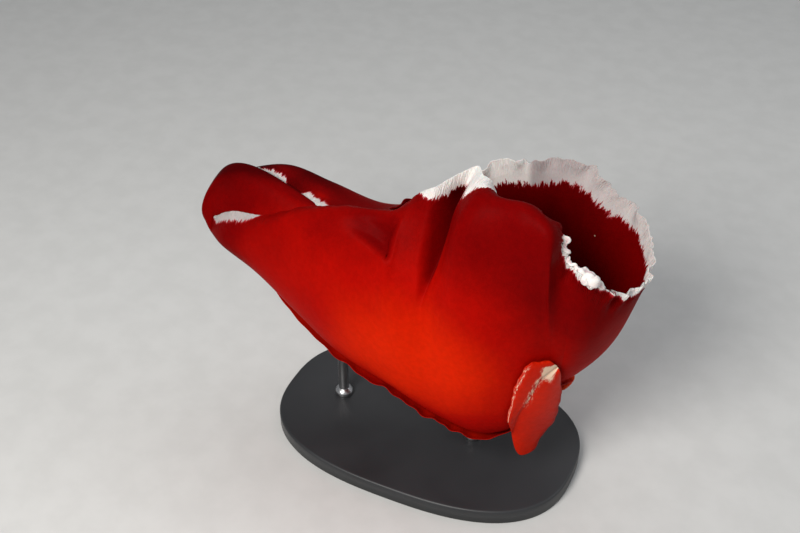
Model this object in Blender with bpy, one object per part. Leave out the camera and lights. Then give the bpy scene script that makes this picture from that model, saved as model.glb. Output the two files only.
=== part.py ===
"""Spanish dancer nudibranch, swimming with its mantle cupped upward, as a life-size still model.

The soft animal is one folded sheet, thick along the belly and thin at the white margin.
Ribs run from the keel of the belly out to the margin, all the way round the animal:
u goes round from the tail along the right side to the head and back along the left side,
f goes along a rib from the keel (0) to the free edge of the mantle (1).
+X points to the head, +Y to the animal's left, +Z up. The stand's underside is z = 0.
"""
import math

import bmesh
import bpy
import numpy as np
from mathutils import Vector
from mathutils.bvhtree import BVHTree

MM = 0.001
GAP = 0.3               # clearance between pieces that touch, mm
SEAT = 0.4              # clearance under a piece that sits on a faceted surface, mm
LIFT = 85.0             # height of the animal's own origin above the floor, mm
RISE = 5.0              # how far the belly rises from the keel to its widest line, mm
MARGIN = 8.0            # width of the white frill, mm
HEAD_S, TAIL_S = 0.84, 0.22   # places along the keel where the head and the tail begin
SIDE_COLUMNS = 36       # ribs along each side
FRONT_COLUMNS = 16
TAIL_COLUMNS = 14
WALL_ROWS = 10
TRUNK_ROWS = (0.0, 0.17, 0.34, 0.54, 0.77, 1.0)
RIB_STEPS = 20          # points between two of a rib's five knots

# keel of the belly from tail to head: x, y, z, half width of the belly, depth of the trunk,
# reach of the trunk along a rib
KEEL = [
    (-98, 0, -2, 8, 3, 9), (-78, -1, -10, 10, 7, 14), (-58, -2, -23, 12, 14, 22),
    (-34, -3, -35, 16, 22, 30), (-6, -3, -42, 19, 27, 36), (20, -3, -51, 19, 27, 38),
    (40, -2, -55, 16, 19, 34), (54, -1, -46, 11, 14, 28), (61, 0, -32, 7, 9, 22),
]
# ribs: name, place along the keel, heading in degrees, bulge, crest, free edge
SIDE_RIBS = [
    ("near notch", 0.00, 226, 4, (-107, -8, 18.5), (-106.3, -9, 19.5)),
    ("near 1", 0.04, 240, 6, (-94.5, -15, 23.5), (-93.5, -12, 28.8)),
    ("near 2", 0.12, 252, 8, (-79, -16, 30), (-77.5, -13, 32)),
    ("near 3", 0.26, 262, 12, (-57, -15, 42), (-56, -11, 41.5)),
    ("near 4", 0.40, 268, 16, (-35, -14, 50), (-35, -10, 47.5)),
    ("near 5", 0.52, 270, 19, (-13, -14, 54), (-13, -8, 51)),
    ("shoulder", 0.60, 270, 20, (-1, -16, 62), (0, -12, 68)),
    ("peak", 0.67, 270, 18, (14, -19, 64), (15, -14, 75)),
    ("bulge 1", 0.73, 270, 20, (29, -19, 80), (30.5, -7, 78)),
    ("flap end", 0.755, 270, 19.5, (36, -21, 80), (34, -9, 69)),
    ("bulge 2", 0.84, 270, 16, (52.5, -23, 80.5), (53.5, -17, 75)),
    ("bulge 3", 0.92, 275, 9, (62.5, -27, 77), (63.5, -21.5, 70)),
    ("near corner", 0.97, 282, 5.5, (66, -29.5, 65), (66.3, -23.5, 61.5)),
    ("near rim", 1.00, 292, 3, (73, -32, 51), (74, -27, 60)),
    ("front rim", 1.00, 335, 2.5, (84, -19, 32), (87, -12, 43)),
    ("front", 1.00, 368, 4, (91, 6, 30), (94, 8, 43)),
    ("far front", 1.00, 405, 7, (79.5, 28, 40), (81.2, 31, 54.2)),
    ("far side", 0.96, 422, 10, (61, 38, 42), (67.8, 40, 54.4)),
    ("far 1", 0.92, 440, 14, (53, 42.5, 45), (57.5, 45.5, 60.3)),
    ("far 2", 0.77, 450, 19, (29, 46.5, 41), (27, 46, 57)),
    ("far 3", 0.58, 450, 16, (-4, 41, 27), (-9, 30, 40)),
    ("far 4", 0.38, 450, 12, (-34, 25, 26.5), (-36, -4, 38)),
    ("far 5", 0.20, 455, 9, (-58, 19.5, 35.5), (-59.5, -0.5, 36.5)),
    ("far 6", 0.08, 482, 7, (-80, 16, 41), (-79, 4.5, 39.5)),
    ("far notch", 0.00, 500, 6, (-98, 13, 36), (-92, 11, 38.5)),
]
TAIL_RIBS = [
    ("far notch", 0.00, 140, 6, (-98, 13, 36), (-92, 11, 38.5)),
    ("tail far", 0.00, 157, 8, (-103, 8.5, 36), (-85, 8, 36.5)),
    ("tail tip far", 0.00, 174, 9, (-106, 4, 35), (-75, 2.5, 34.5)),
    ("tail tip near", 0.00, 190, 8.5, (-107.5, 0, 33), (-75, -2, 32.5)),
    ("tail near", 0.00, 208, 7, (-108, -4, 27), (-89, -7, 26.5)),
    ("near notch", 0.00, 226, 4, (-107, -8, 18.5), (-106.3, -9, 19.5)),
]
# thickness of the mantle at distances from its free edge, mm
THICKNESS = [(0, 0.8), (4, 1.3), (8, 1.6), (20, 2.2), (50, 3.4), (90, 5.0), (140, 6.5)]
FOOT_RUN = (0.10, 0.90)      # stretch of the keel that the sole runs along
# rows of the sole from its middle to its free edge: share of the trunk, clearance and thickness
FOOT_ROWS = [(0, 0.4, 4.5), (0.17, 0.4, 4.2), (0.36, 0.4, 3.0), (0.54, 1.0, 1.3), (0.72, 2.3, 0.9)]
# the two folded lobes at the front of the foot: outer border, groove between them, inner border
FOOT_OUTER = [(65.3, -24.2, 10.5), (56.8, -31.2, 1.7), (53, -31.8, -12), (51.5, -30, -25), (46.5, -25, -42)]
FOOT_GROOVE = [(66.6, -22.2, 5.5), (60.8, -24.8, -9.3), (56, -26.5, -18), (53, -26, -28), (49.5, -21, -47)]
FOOT_INNER = [(68, -20.2, -1.5), (67.2, -12.8, -24.3), (66.2, -11, -35), (62, -12, -51), (52, -15, -63)]
FOOT_OUT = np.array([0.33, -0.71, 0.62])    # the way the two lobes face
RHINOPHORE_S, GILL_S = 0.90, 0.42   # their places along the keel
RHINOPHORE_HEIGHT, GILL_HEIGHT = 13.0, 20.0
PINNAE = 10
GROUND_FADE = 3.0       # height by which a turned piece has lost the slope it stands on, mm
GILL_RING = 9.0         # radius of the circle the gills stand on, mm
MIDDLE = 360.0          # heading of the rib that runs up the middle of the face, degrees
# mouth and oral tentacles: width, and at the root and the tip the distance up that rib, distance to
# its side, height over the skin, mm
MOUTH_AT = 10.0
MOUTH_PROFILE = [(4.3, 0), (4.6, 1.3), (4.1, 2.2), (3.2, 2.7), (2.6, 1.9), (2.1, 1.0)]
MOUTH_SQUASH = (1, 1, 1, 1, 0.85, 0.40, 0.22)   # height over width of each ring, from the skin to the slit
COLLAR_AND_STALK = [(3.0, 0), (3.1, 1.6), (2.6, 2.4), (1.7, 1.8), (1.5, 3.6)]
LEAVES, LEAF_START, LEAF_WIDTH, LEAF_EDGE = 7, 4.2, 2.3, 0.62
PROBE = 8.0             # height from which the surface below a ring is felt, mm
TENTACLES = [("right", 4.6, (14.0, -5.4, 1.5), (21.0, -5.0, 1.6)),
             ("left", 6.0, (14.0, 8.0, 1.6), (26.0, 12.0, 2.6))]
BASE_LENGTH, BASE_WIDTH, BASE_HEIGHT, BASE_BEVEL = 150.0, 95.0, 8.0, 1.2
BASE_SQUARENESS, BASE_SIDES = 2.6, 48
FERRULE = [(4.5, 0), (4.5, 2.5), (3.4, 4.0)]    # radius and height of its rings
ROD_PLACES, ROD_RADIUS, ROD_SIDES = (24.0, -46.0), 2.5, 16
SEAM = 3.5              # how far the tail lobe keeps clear of the notches, mm
SIDE_DEPTH, TAIL_DEPTH = 140.0, 9.0    # distances beyond which a lobe grows no thicker, mm
MARGIN_ROWS = (MARGIN, 5.0, 2.4, 0.0)   # distances from the free edge, mm
# valley of the right side: share of the rib, its right border past the peak, width, depth
VALLEY = [(0.60, -2.5, 6, 0), (0.66, -2, 7, 1.5), (0.71, -0.5, 8, 6), (0.775, 3, 12, 10.5), (0.85, 5.5, 15, 13),
          (0.94, 6.5, 16.5, 13), (1.0, 12, 24, 11.5)]
VALLEY_RISE = 0.45      # share of the valley's width where its right wall rises
HOLLOW = 3.5            # depth of the dent under the seam, mm
OPEN_RUFFLE, CLOSED_RUFFLE = 1.5, 0.25  # height of the ruffles on the funnel and elsewhere
UP = np.array([0.0, 0.0, 1.0])

RED = (0.52, 0.012, 0.006)
DEEP_RED = (0.30, 0.008, 0.006)
WHITE = (0.86, 0.80, 0.76)
ORANGE = (0.60, 0.05, 0.02)
STEEL = (0.55, 0.56, 0.58)
DARK = (0.03, 0.03, 0.035)


def clear_scene():
    for obj in list(bpy.data.objects):
        bpy.data.objects.remove(obj, do_unlink=True)


def material(name, colour, roughness, metallic=0.0):
    mat = bpy.data.materials.get(name)
    if mat is None:
        mat = bpy.data.materials.new(name)
        mat.use_nodes = True
        shader = mat.node_tree.nodes["Principled BSDF"]
        shader.inputs["Base Color"].default_value = (*colour, 1.0)
        shader.inputs["Roughness"].default_value = roughness
        shader.inputs["Metallic"].default_value = metallic
    return mat


def hermite(knots, values, x):
    """Smooth cubic through values at rising knots."""
    knots = np.asarray(knots, float)
    values = np.asarray(values, float)
    x = np.asarray(x, float)
    tail = (1,) * (values.ndim - 1)
    step = np.diff(knots)
    wide = step.reshape((-1,) + tail)
    slope = np.diff(values, axis=0) / wide
    tangent = np.zeros_like(values)
    tangent[1:-1] = (slope[:-1] * wide[1:] + slope[1:] * wide[:-1]) / (wide[1:] + wide[:-1])
    tangent[0] = 1.5 * slope[0] - 0.5 * tangent[1]
    tangent[-1] = 1.5 * slope[-1] - 0.5 * tangent[-2]
    i = np.clip(np.searchsorted(knots, x, side="right") - 1, 0, len(step) - 1)
    h = step[i].reshape((-1,) + tail)
    t = (x - knots[i]).reshape((-1,) + tail) / h
    rise = t * t * (3 - 2 * t)
    return ((1 - rise) * values[i] + rise * values[i + 1]
            + (t ** 3 - 2 * t ** 2 + t) * h * tangent[i] + (t ** 3 - t ** 2) * h * tangent[i + 1])


def smooth(x, low, high):
    x = np.clip((x - low) / (high - low), 0.0, 1.0)
    return x * x * (3 - 2 * x)


class Lobe:
    """A stretch of the mantle between two notches; u runs along its rim in mm."""

    def __init__(self, ribs):
        self.names = [rib[0] for rib in ribs]
        self.place, self.heading, self.bulge = np.array([rib[1:4] for rib in ribs], float).T
        self.crest = np.array([rib[4] for rib in ribs], float)
        self.edge = np.array([rib[5] for rib in ribs], float)
        step = np.linalg.norm(np.diff(0.5 * (self.crest + self.edge), axis=0), axis=1)
        self.knots = np.concatenate([[0], np.cumsum(step)])
        self.end = self.knots[-1]

    def at(self, name):
        return self.knots[self.names.index(name)]

    def rib(self, u):
        """Place along the keel, heading, bulge, crest and edge at u."""
        values = [hermite(self.knots, v, u) for v in (self.heading, self.bulge, self.crest, self.edge)]
        return [np.interp(u, self.knots, self.place)] + values


def keel(s):
    table = np.array(KEEL, float)
    run = np.concatenate([[0], np.cumsum(np.linalg.norm(np.diff(table[:, :3], axis=0), axis=1))])
    return hermite(run / run[-1], table, s)


def keel_up(s):
    """Unit vectors square to the keel, pointing into the bag."""
    step = 0.004
    run = keel(np.clip(s + step, 0, 1))[:, :3] - keel(np.clip(s - step, 0, 1))[:, :3]
    up = np.stack([-run[:, 2], 0 * s, run[:, 0]], -1)
    return up / np.linalg.norm(up, axis=1)[:, None]


def folds(lobe, u, f):
    """Outward push in mm that makes the deep valley and the shallow hollow of the right side."""
    if lobe is not SIDE:
        return 0 * f
    table = np.array(VALLEY)
    shape = hermite(table[:, 0], table[:, 1:], np.clip(f, table[0, 0], 1).ravel()).reshape(f.shape + (3,))
    right, wide, depth = np.moveaxis(shape, -1, 0)
    across = (right + lobe.at("peak") - u) / wide
    valley = smooth(across, 0, VALLEY_RISE) * (1 - smooth(across, VALLEY_RISE, 1.0))
    dent = np.exp(-((u - lobe.at("near 5") + 1.0) / 12.0) ** 2 - ((f - 0.85) / 0.07) ** 2)
    return -np.maximum(depth, 0) * valley - HOLLOW * dent


def ripple(lobe, u, distance):
    """Push in mm along the normal that ruffles the white margin, most on the open funnel."""
    turn = 2 * math.pi * u
    wave = 0.55 * np.sin(turn / 13.3 + 0.7) + 0.45 * np.sin(turn / 8.9 + 2.1)
    wave = wave + 0.35 * np.sin(turn / 21.7 + 4.0)
    free = 0 * u
    if lobe is SIDE:
        free = smooth(u, lobe.at("bulge 1"), lobe.at("near rim"))
        free = free * (1 - smooth(u, lobe.at("far 3"), lobe.at("far 4")))
    return (CLOSED_RUFFLE + OPEN_RUFFLE * free) * wave * np.exp(-(distance / 5.5) ** 2)


def rib_curve(knots):
    """Smooth curves through knots (n, 5, 3), paced by the lengths of their chords."""
    chord = np.diff(knots, axis=1)
    h = np.linalg.norm(chord, axis=2, keepdims=True)
    slope = chord / h
    inner = (slope[:, :-1] * h[:, 1:] + slope[:, 1:] * h[:, :-1]) / (h[:, 1:] + h[:, :-1])
    first = 1.5 * slope[:, :1] - 0.5 * inner[:, :1]
    last = 1.5 * slope[:, -1:] - 0.5 * inner[:, -1:]
    tangent = np.concatenate([first, inner, last], axis=1)
    t = np.linspace(0, 1, RIB_STEPS + 1)[:-1, None]
    rise = t * t * (3 - 2 * t)
    pieces = []
    for k in range(knots.shape[1] - 1):
        start, end = knots[:, k, None], knots[:, k + 1, None]
        leave = h[:, k, None] * tangent[:, k, None]
        arrive = h[:, k, None] * tangent[:, k + 1, None]
        pieces.append((1 - rise) * start + rise * end
                      + (t ** 3 - 2 * t ** 2 + t) * leave + (t ** 3 - t ** 2) * arrive)
    return np.concatenate(pieces + [knots[:, -1:]], axis=1)


def surface(lobe, u, f):
    """Outer surface: u (n,), f (n, m) give points (n, m, 3), rib lengths (n,)."""
    s, heading, bulge, crest, edge = lobe.rib(u)
    heading = np.radians(heading)
    out = np.stack([np.cos(heading), np.sin(heading), 0 * heading], -1)
    base = keel(s)
    root = base[:, :3]
    flank = root + out * base[:, 3:4] + RISE * UP
    middle = 0.5 * (flank + crest) + out * bulge[:, None]
    fine = rib_curve(np.stack([root, flank, middle, crest, edge], 1))
    run = np.cumsum(np.linalg.norm(np.diff(fine, axis=1), axis=2), axis=1)
    run = np.concatenate([np.zeros((len(u), 1)), run], axis=1)
    length = run[:, -1]
    points = np.empty(f.shape + (3,))
    for i in range(len(u)):
        for axis in range(3):
            points[i, :, axis] = np.interp(f[i] * length[i], run[i], fine[i, :, axis])
    points += out[:, None, :] * folds(lobe, u[:, None], f)[:, :, None]
    return points, length


def trunk_share(lobe, u):
    """Share of each rib that belongs to the trunk."""
    _, length = surface(lobe, u, np.zeros((len(u), 1)))
    return keel(lobe.rib(u)[0])[:, 5] / length


def normals(lobe, u, f):
    """Outward unit normals, turned square to the keel where they come near it."""
    du, df, least = 1.6, 0.012, 0.05
    g = np.clip(f, least, 1 - df)
    ahead = surface(lobe, np.minimum(u + du, lobe.end), g)[0]
    along = ahead - surface(lobe, np.maximum(u - du, 0), g)[0]
    up = surface(lobe, u, g + df)[0] - surface(lobe, u, g - df)[0]
    n = np.cross(along, up)
    n /= np.linalg.norm(n, axis=2)[:, :, None]
    s = lobe.rib(u)[0]
    reach = trunk_share(lobe, u)[:, None]
    side = smooth(f, 0.0, reach)[:, :, None]
    n = n * side - keel_up(s)[:, None, :] * (1 - side)
    return n / np.linalg.norm(n, axis=2)[:, :, None]


def both_faces(lobe, u, f):
    """Outer and inner points of the sheet at u (n,), f (n, m), in mm."""
    points, length = surface(lobe, u, f)
    n = normals(lobe, u, f)
    distance = (1 - f) * length[:, None]
    deepest = SIDE_DEPTH if lobe is SIDE else TAIL_DEPTH
    where, thick = np.array(THICKNESS, float).T
    sheet = np.interp(np.minimum(distance, deepest), where, thick)
    depth = keel(lobe.rib(u)[0])[:, 4:5]
    reach = trunk_share(lobe, u)[:, None]
    thickness = depth + (sheet - depth) * smooth(f / reach, 0.15, 1.2)
    points = points + n * ripple(lobe, u[:, None], distance)[:, :, None]
    return points, points - n * thickness[:, :, None]


SIDE = Lobe(SIDE_RIBS)
TAIL = Lobe(TAIL_RIBS)


def columns():
    """u of every rib of the grid; the two sides leave the keel at the same places s."""
    x = np.linspace(0, 1, SIDE_COLUMNS + 1)
    s = 0.65 * x + 0.35 * (0.5 - 0.5 * np.cos(math.pi * x))
    turn = SIDE.names.index("near rim") + 1
    back = SIDE.names.index("far front")
    near = np.interp(s, SIDE.place[:turn], SIDE.knots[:turn])
    far = np.interp(s, SIDE.place[back:][::-1], SIDE.knots[back:][::-1])
    front = np.linspace(SIDE.at("near rim"), SIDE.at("far front"), FRONT_COLUMNS + 1)
    tail = np.linspace(SEAM, TAIL.end - SEAM, TAIL_COLUMNS + 1)
    return s, near, front, far, tail


def to_object(name, points, faces, mat):
    mesh = bpy.data.meshes.new(name)
    mesh.from_pydata([tuple((p + LIFT * UP) * MM) for p in points], [], faces)
    mesh.validate()
    mesh.materials.append(mat)
    mesh.shade_smooth()
    obj = bpy.data.objects.new(name, mesh)
    bpy.context.scene.collection.objects.link(obj)
    return obj


def strip_solid(name, strips, mat):
    """Closed solid from strips of ribs; keys name the points that strips share at the keel.

    Each strip is (outer, inner, keys) with outer and inner as (n, m, 3) and keys as n
    values or None. Both faces are split along the same diagonals.
    """
    points, faces, shared = [], [], {}

    def number(point, key):
        if key is not None and key in shared:
            return shared[key]
        points.append(point)
        if key is not None:
            shared[key] = len(points) - 1
        return len(points) - 1

    def face(*ring):
        ring = [v for i, v in enumerate(ring) if v != ring[i - 1]]
        if len(ring) >= 3:
            faces.append(ring)

    for outer, inner, keys in strips:
        n, m = outer.shape[:2]
        o = [[number(outer[i, j], ("o", keys[i]) if keys and j == 0 else None)
              for j in range(m)] for i in range(n)]
        p = [[number(inner[i, j], ("i", keys[i]) if keys and j == 0 else None)
              for j in range(m)] for i in range(n)]
        for i in range(n - 1):
            for j in range(m - 1):
                face(o[i][j], o[i + 1][j], o[i + 1][j + 1])
                face(o[i][j], o[i + 1][j + 1], o[i][j + 1])
                face(p[i][j], p[i + 1][j + 1], p[i + 1][j])
                face(p[i][j], p[i][j + 1], p[i + 1][j + 1])
        for i in range(n - 1):
            if not keys:
                face(o[i][0], p[i][0], p[i + 1][0])
                face(o[i][0], p[i + 1][0], o[i + 1][0])
            face(o[i][-1], o[i + 1][-1], p[i + 1][-1])
            face(o[i][-1], p[i + 1][-1], p[i][-1])
        for j in range(m - 1):
            face(o[0][j], o[0][j + 1], p[0][j + 1])
            face(o[0][j], p[0][j + 1], p[0][j])
            face(o[-1][j], p[-1][j + 1], o[-1][j + 1])
            face(o[-1][j], p[-1][j], p[-1][j + 1])
    return to_object(name, points, faces, mat)


def pull_in(grid, axis, first=True, last=True, by=GAP / 2):
    """Moves the first and last row of a grid inwards along the surface."""
    grid = np.moveaxis(grid.copy(), axis, 0)
    start = grid[1] - grid[0]
    end = grid[-2] - grid[-1]
    if first:
        grid[0] += by * start / np.linalg.norm(start, axis=-1, keepdims=True)
    if last:
        grid[-1] += by * end / np.linalg.norm(end, axis=-1, keepdims=True)
    return np.moveaxis(grid, 0, axis)


def wall_rows(lobe, u):
    """f of the rows of the mantle between the trunk and the white margin."""
    _, length = surface(lobe, u, np.zeros((len(u), 1)))
    root = 1 - MARGIN / length
    start = trunk_share(lobe, u)[:, None]
    step = 1 - (1 - np.linspace(0, 1, WALL_ROWS + 1)) ** 1.3
    return start + (root[:, None] - start) * step


def margin_rows(lobe, u):
    _, length = surface(lobe, u, np.zeros((len(u), 1)))
    return 1 - np.array(MARGIN_ROWS) / length[:, None]


def make_wall(name, lobe, u):
    faces = []
    for grid in both_faces(lobe, u, wall_rows(lobe, u)):
        faces.append(pull_in(pull_in(grid, 0), 1, by=0.25))
    return strip_solid("mantle_" + name, [(faces[0], faces[1], None)], material("red", RED, 0.45))


def make_margin(name, lobe, u):
    fine = np.sort(np.concatenate([u, 0.5 * (u[1:] + u[:-1])]))
    faces = []
    for grid in both_faces(lobe, fine, margin_rows(lobe, fine)):
        grid = pull_in(pull_in(grid, 0), 1, last=False, by=0.35)
        grid[1:-1:2, 0] = 0.5 * (grid[0:-2:2, 0] + grid[2::2, 0])
        faces.append(grid)
    return strip_solid("margin_" + name, [(faces[0], faces[1], None)], material("white", WHITE, 0.5))


def trunk_strip(lobe, u, s, start_cut, end_cut):
    f = trunk_share(lobe, u)[:, None] * np.array(TRUNK_ROWS)
    faces = []
    for grid in both_faces(lobe, u, f):
        grid = pull_in(grid, 0, first=start_cut, last=end_cut)
        faces.append(pull_in(grid, 1, first=False))
    return faces[0], faces[1], [round(float(v), 6) for v in s]


def between(s, u, low, high):
    kept = np.array([low] + [v for v in s if low + 0.008 < v < high - 0.008] + [high])
    return kept, np.interp(kept, s, u)


def make_body(s, near, front, far, tail):
    """The trunk in three lengths, each closed round its two sides."""
    red = material("red", RED, 0.45)
    s_head, near_head = between(s, near, HEAD_S, 1.0)
    far_head = between(s, far, HEAD_S, 1.0)[1]
    u = np.concatenate([near_head, front[1:-1], far_head[::-1]])
    keys = np.concatenate([s_head, np.ones(len(front) - 2), s_head[::-1]])
    strip_solid("head", [trunk_strip(SIDE, u, keys, True, True)], red)

    s_trunk, near_trunk = between(s, near, TAIL_S, HEAD_S)
    far_trunk = between(s, far, TAIL_S, HEAD_S)[1]
    sides = [trunk_strip(SIDE, near_trunk, s_trunk, True, True)]
    sides.append(trunk_strip(SIDE, far_trunk[::-1], s_trunk[::-1], True, True))
    strip_solid("body", sides, red)

    s_tail, near_tail = between(s, near, 0.0, TAIL_S)
    far_tail = between(s, far, 0.0, TAIL_S)[1]
    near_side = trunk_strip(SIDE, near_tail, s_tail, False, True)
    far_side = trunk_strip(SIDE, far_tail[::-1], s_tail[::-1], True, False)
    fan = trunk_strip(TAIL, tail, 0 * tail, False, False)
    outer, inner = (np.concatenate([far_side[k], fan[k], near_side[k]]) for k in (0, 1))
    keys = far_side[2] + fan[2] + near_side[2]
    strip_solid("tail", [(outer, inner, keys)], red)


def make_mantle(near, front, far, tail):
    def cut(u, a, b):
        u = np.sort(u)
        i = int(np.argmin(abs(u - SIDE.at(a))))
        j = int(np.argmin(abs(u - SIDE.at(b))))
        return u[i:j + 1]
    ranges = {
        "right_rear": (SIDE, cut(near, "near notch", "near 5")),
        "right_front": (SIDE, cut(near, "near 5", "near rim")),
        "front": (SIDE, front),
        "left_front": (SIDE, cut(far, "far front", "far 3")),
        "left_rear": (SIDE, cut(far, "far 3", "far notch")),
        "tail": (TAIL, tail),
    }
    for name, (lobe, u) in ranges.items():
        make_wall(name, lobe, u)
        make_margin(name, lobe, u)


def tree_of(*names):
    """Search tree over the named pieces, in mm about the animal's own origin."""
    points, faces = [], []
    for name in names:
        mesh = bpy.data.objects[name].data
        start = len(points)
        points += [v.co / MM - LIFT * Vector(UP) for v in mesh.vertices]
        faces += [[start + i for i in p.vertices] for p in mesh.polygons]
    return BVHTree.FromPolygons(points, faces)


def seat(tree, point, exact=False):
    """Moves a point off the surface under it until it clears that surface by the gap."""
    near, normal, _, _ = tree.find_nearest(Vector(point))
    height = (Vector(point) - near).dot(normal)
    if exact or height < SEAT:
        return np.array(near + SEAT * normal)
    return point


def make_foot(s, near, far):
    share, clear, thick = np.array(FOOT_ROWS).T
    places, near_u = between(s, near, *FOOT_RUN)
    far_u = between(s, far, *FOOT_RUN)[1]
    strips = []
    for u, keys in ((near_u, places), (far_u[::-1], places[::-1])):
        f = trunk_share(SIDE, u)[:, None] * share
        n = normals(SIDE, u, f)
        ends = smooth(keys, FOOT_RUN[0], FOOT_RUN[0] + 0.12) * (1 - smooth(keys, FOOT_RUN[1] - 0.1, FOOT_RUN[1]))
        clearance = SEAT + (clear - SEAT) * ends[:, None]
        upper = both_faces(SIDE, u, f)[0] + n * clearance[:, :, None]
        lower = upper + n * (thick * (0.35 + 0.65 * ends[:, None]))[:, :, None]
        strips.append((lower, upper, [round(float(v), 6) for v in keys]))
    strip_solid("foot", strips, material("deep red", DEEP_RED, 0.45))


def closed(name, points, faces, mat):
    return to_object(name, [np.array(p) for p in points], faces, mat)


def frame_of(axis):
    """Two unit vectors square to an axis."""
    axis = np.array(axis, float) / np.linalg.norm(axis)
    side = np.cross(axis, UP if abs(axis[2]) < 0.9 else np.array([1.0, 0.0, 0.0]))
    side /= np.linalg.norm(side)
    return axis, side, np.cross(axis, side)


def tube(name, path, radii, sides, mat):
    """Closed tube with flat ends along a path in mm; it turns with the path."""
    path = np.array(path, float)
    way = np.gradient(path, axis=0)
    points, faces = [], []
    _, side, _ = frame_of(way[0])
    for centre, step, radius in zip(path, way, radii):
        step = step / np.linalg.norm(step)
        side = side - step * side.dot(step)
        side /= np.linalg.norm(side)
        other = np.cross(step, side)
        for k in range(sides):
            turn = 2 * math.pi * k / sides
            points.append(centre + radius * (side * math.cos(turn) + other * math.sin(turn)))
    for i in range(len(path) - 1):
        for k in range(sides):
            a, b = i * sides + k, i * sides + (k + 1) % sides
            faces.append([a, b, b + sides, a + sides])
    faces.append(list(range(sides))[::-1])
    faces.append([len(points) - sides + k for k in range(sides)])
    return closed(name, points, faces, mat)


def largest_body(mesh):
    """Deletes all but the largest connected surface of a mesh."""
    shape = bmesh.new()
    shape.from_mesh(mesh)
    left, bodies = set(shape.verts), []
    while left:
        stack, body = [left.pop()], []
        while stack:
            vert = stack.pop()
            body.append(vert)
            for edge in vert.link_edges:
                other = edge.other_vert(vert)
                if other in left:
                    left.remove(other)
                    stack.append(other)
        bodies.append(body)
    bodies.sort(key=len)
    bmesh.ops.delete(shape, geom=[v for body in bodies[:-1] for v in body], context="VERTS")
    bmesh.ops.triangulate(shape, faces=shape.faces)
    shape.to_mesh(mesh)
    shape.free()


def combined(obj, others, operation):
    """Applies one Boolean between an object and a collection of others, which are then removed."""
    group = bpy.data.collections.new("pieces")
    bpy.context.scene.collection.children.link(group)
    for other in others:
        bpy.context.scene.collection.objects.unlink(other)
        group.objects.link(other)
    boolean = obj.modifiers.new("boolean", "BOOLEAN")
    boolean.operation = operation
    boolean.solver = "EXACT"
    boolean.operand_type = "COLLECTION"
    boolean.collection = group
    result = bpy.data.meshes.new_from_object(obj.evaluated_get(bpy.context.evaluated_depsgraph_get()))
    obj.modifiers.clear()
    obj.data = result
    largest_body(result)
    for other in others:
        bpy.data.objects.remove(other, do_unlink=True)
    bpy.data.collections.remove(group)
    return obj


def dorsum_at(tree, s_along, u_side, places, share):
    """Point on the inner face of the trunk, and the way it faces."""
    u = np.array([np.interp(s_along, places, u_side)])
    f = trunk_share(SIDE, u)[:, None] * share
    near, normal, _, _ = tree.find_nearest(Vector(both_faces(SIDE, u, f)[1][0, 0]))
    return np.array(near), np.array(normal)


def standing_ring(tree, foot, axis, radius, sides):
    """Heights over the foot point, along the axis, of the surface below a ring round it."""
    axis, side, other = frame_of(axis)
    heights = []
    for k in range(sides):
        turn = 2 * math.pi * k / sides
        start = foot + radius * (side * math.cos(turn) + other * math.sin(turn)) + PROBE * axis
        hit = np.array(tree.ray_cast(Vector(start), Vector(-axis))[0])
        heights.append((hit - foot).dot(axis))
    return np.array(heights)


def standing_solid(name, tree, foot, axis, profile, sides, mat, squash=None):
    """Turned solid that stands on a surface: profile is (radius, height) from the foot up.

    squash narrows each ring, from the one under the first profile point on.
    """
    axis, side, other = frame_of(axis)
    ground = standing_ring(tree, foot, axis, profile[0][0], sides)
    half_ground = standing_ring(tree, foot, axis, profile[0][0] / 2, sides)
    centre_ground = standing_ring(tree, foot, axis, 0.0, 1)[0]
    rings = [(profile[0][0] / 2, half_ground + SEAT), (profile[0][0], ground + SEAT)]
    for radius, height in profile[1:]:
        rings.append((radius, height + ground * max(0.0, 1 - height / GROUND_FADE)))
    squash = squash or [1.0] * len(rings)
    points, faces = [foot + (centre_ground + SEAT) * axis], []
    for (radius, heights), flat in zip(rings, squash):
        for k in range(sides):
            turn = 2 * math.pi * k / sides
            away = side * math.cos(turn) + other * math.sin(turn) * flat
            points.append(foot + radius * away + heights[k] * axis)
    for i in range(len(rings) - 1):
        for k in range(sides):
            a, b = 1 + i * sides + k, 1 + i * sides + (k + 1) % sides
            faces.append([a, b, b + sides])
            faces.append([a, b + sides, a + sides])
    points.append(foot + (profile[-1][1] + 0.3 * profile[-1][0]) * axis)
    last = 1 + (len(rings) - 1) * sides
    for k in range(sides):
        faces.append([0, 1 + (k + 1) % sides, 1 + k])
        faces.append([len(points) - 1, last + k, last + (k + 1) % sides])
    return closed(name, points, faces, mat)


def make_rhinophores(places, near, far):
    """Club with thin leaves on a stalk, in a low collar, on each side of the head."""
    tree = tree_of("head", "body")
    profile = list(COLLAR_AND_STALK)
    for k in range(LEAVES):
        height = LEAF_START + (RHINOPHORE_HEIGHT - 5.0) * k / LEAVES
        width = LEAF_WIDTH * math.sin(math.pi * (0.42 + 0.5 * k / LEAVES))
        profile += [(width, height), (0.72 * width, height + LEAF_EDGE)]
    profile.append((0.6, RHINOPHORE_HEIGHT - 0.4))
    for name, u_side in (("right", near), ("left", far)):
        foot, way = dorsum_at(tree, RHINOPHORE_S, u_side, places, 0.5)
        standing_solid("rhinophore_" + name, tree, foot, way + 0.15 * UP, profile, 12,
                       material("orange", ORANGE, 0.4))


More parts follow.
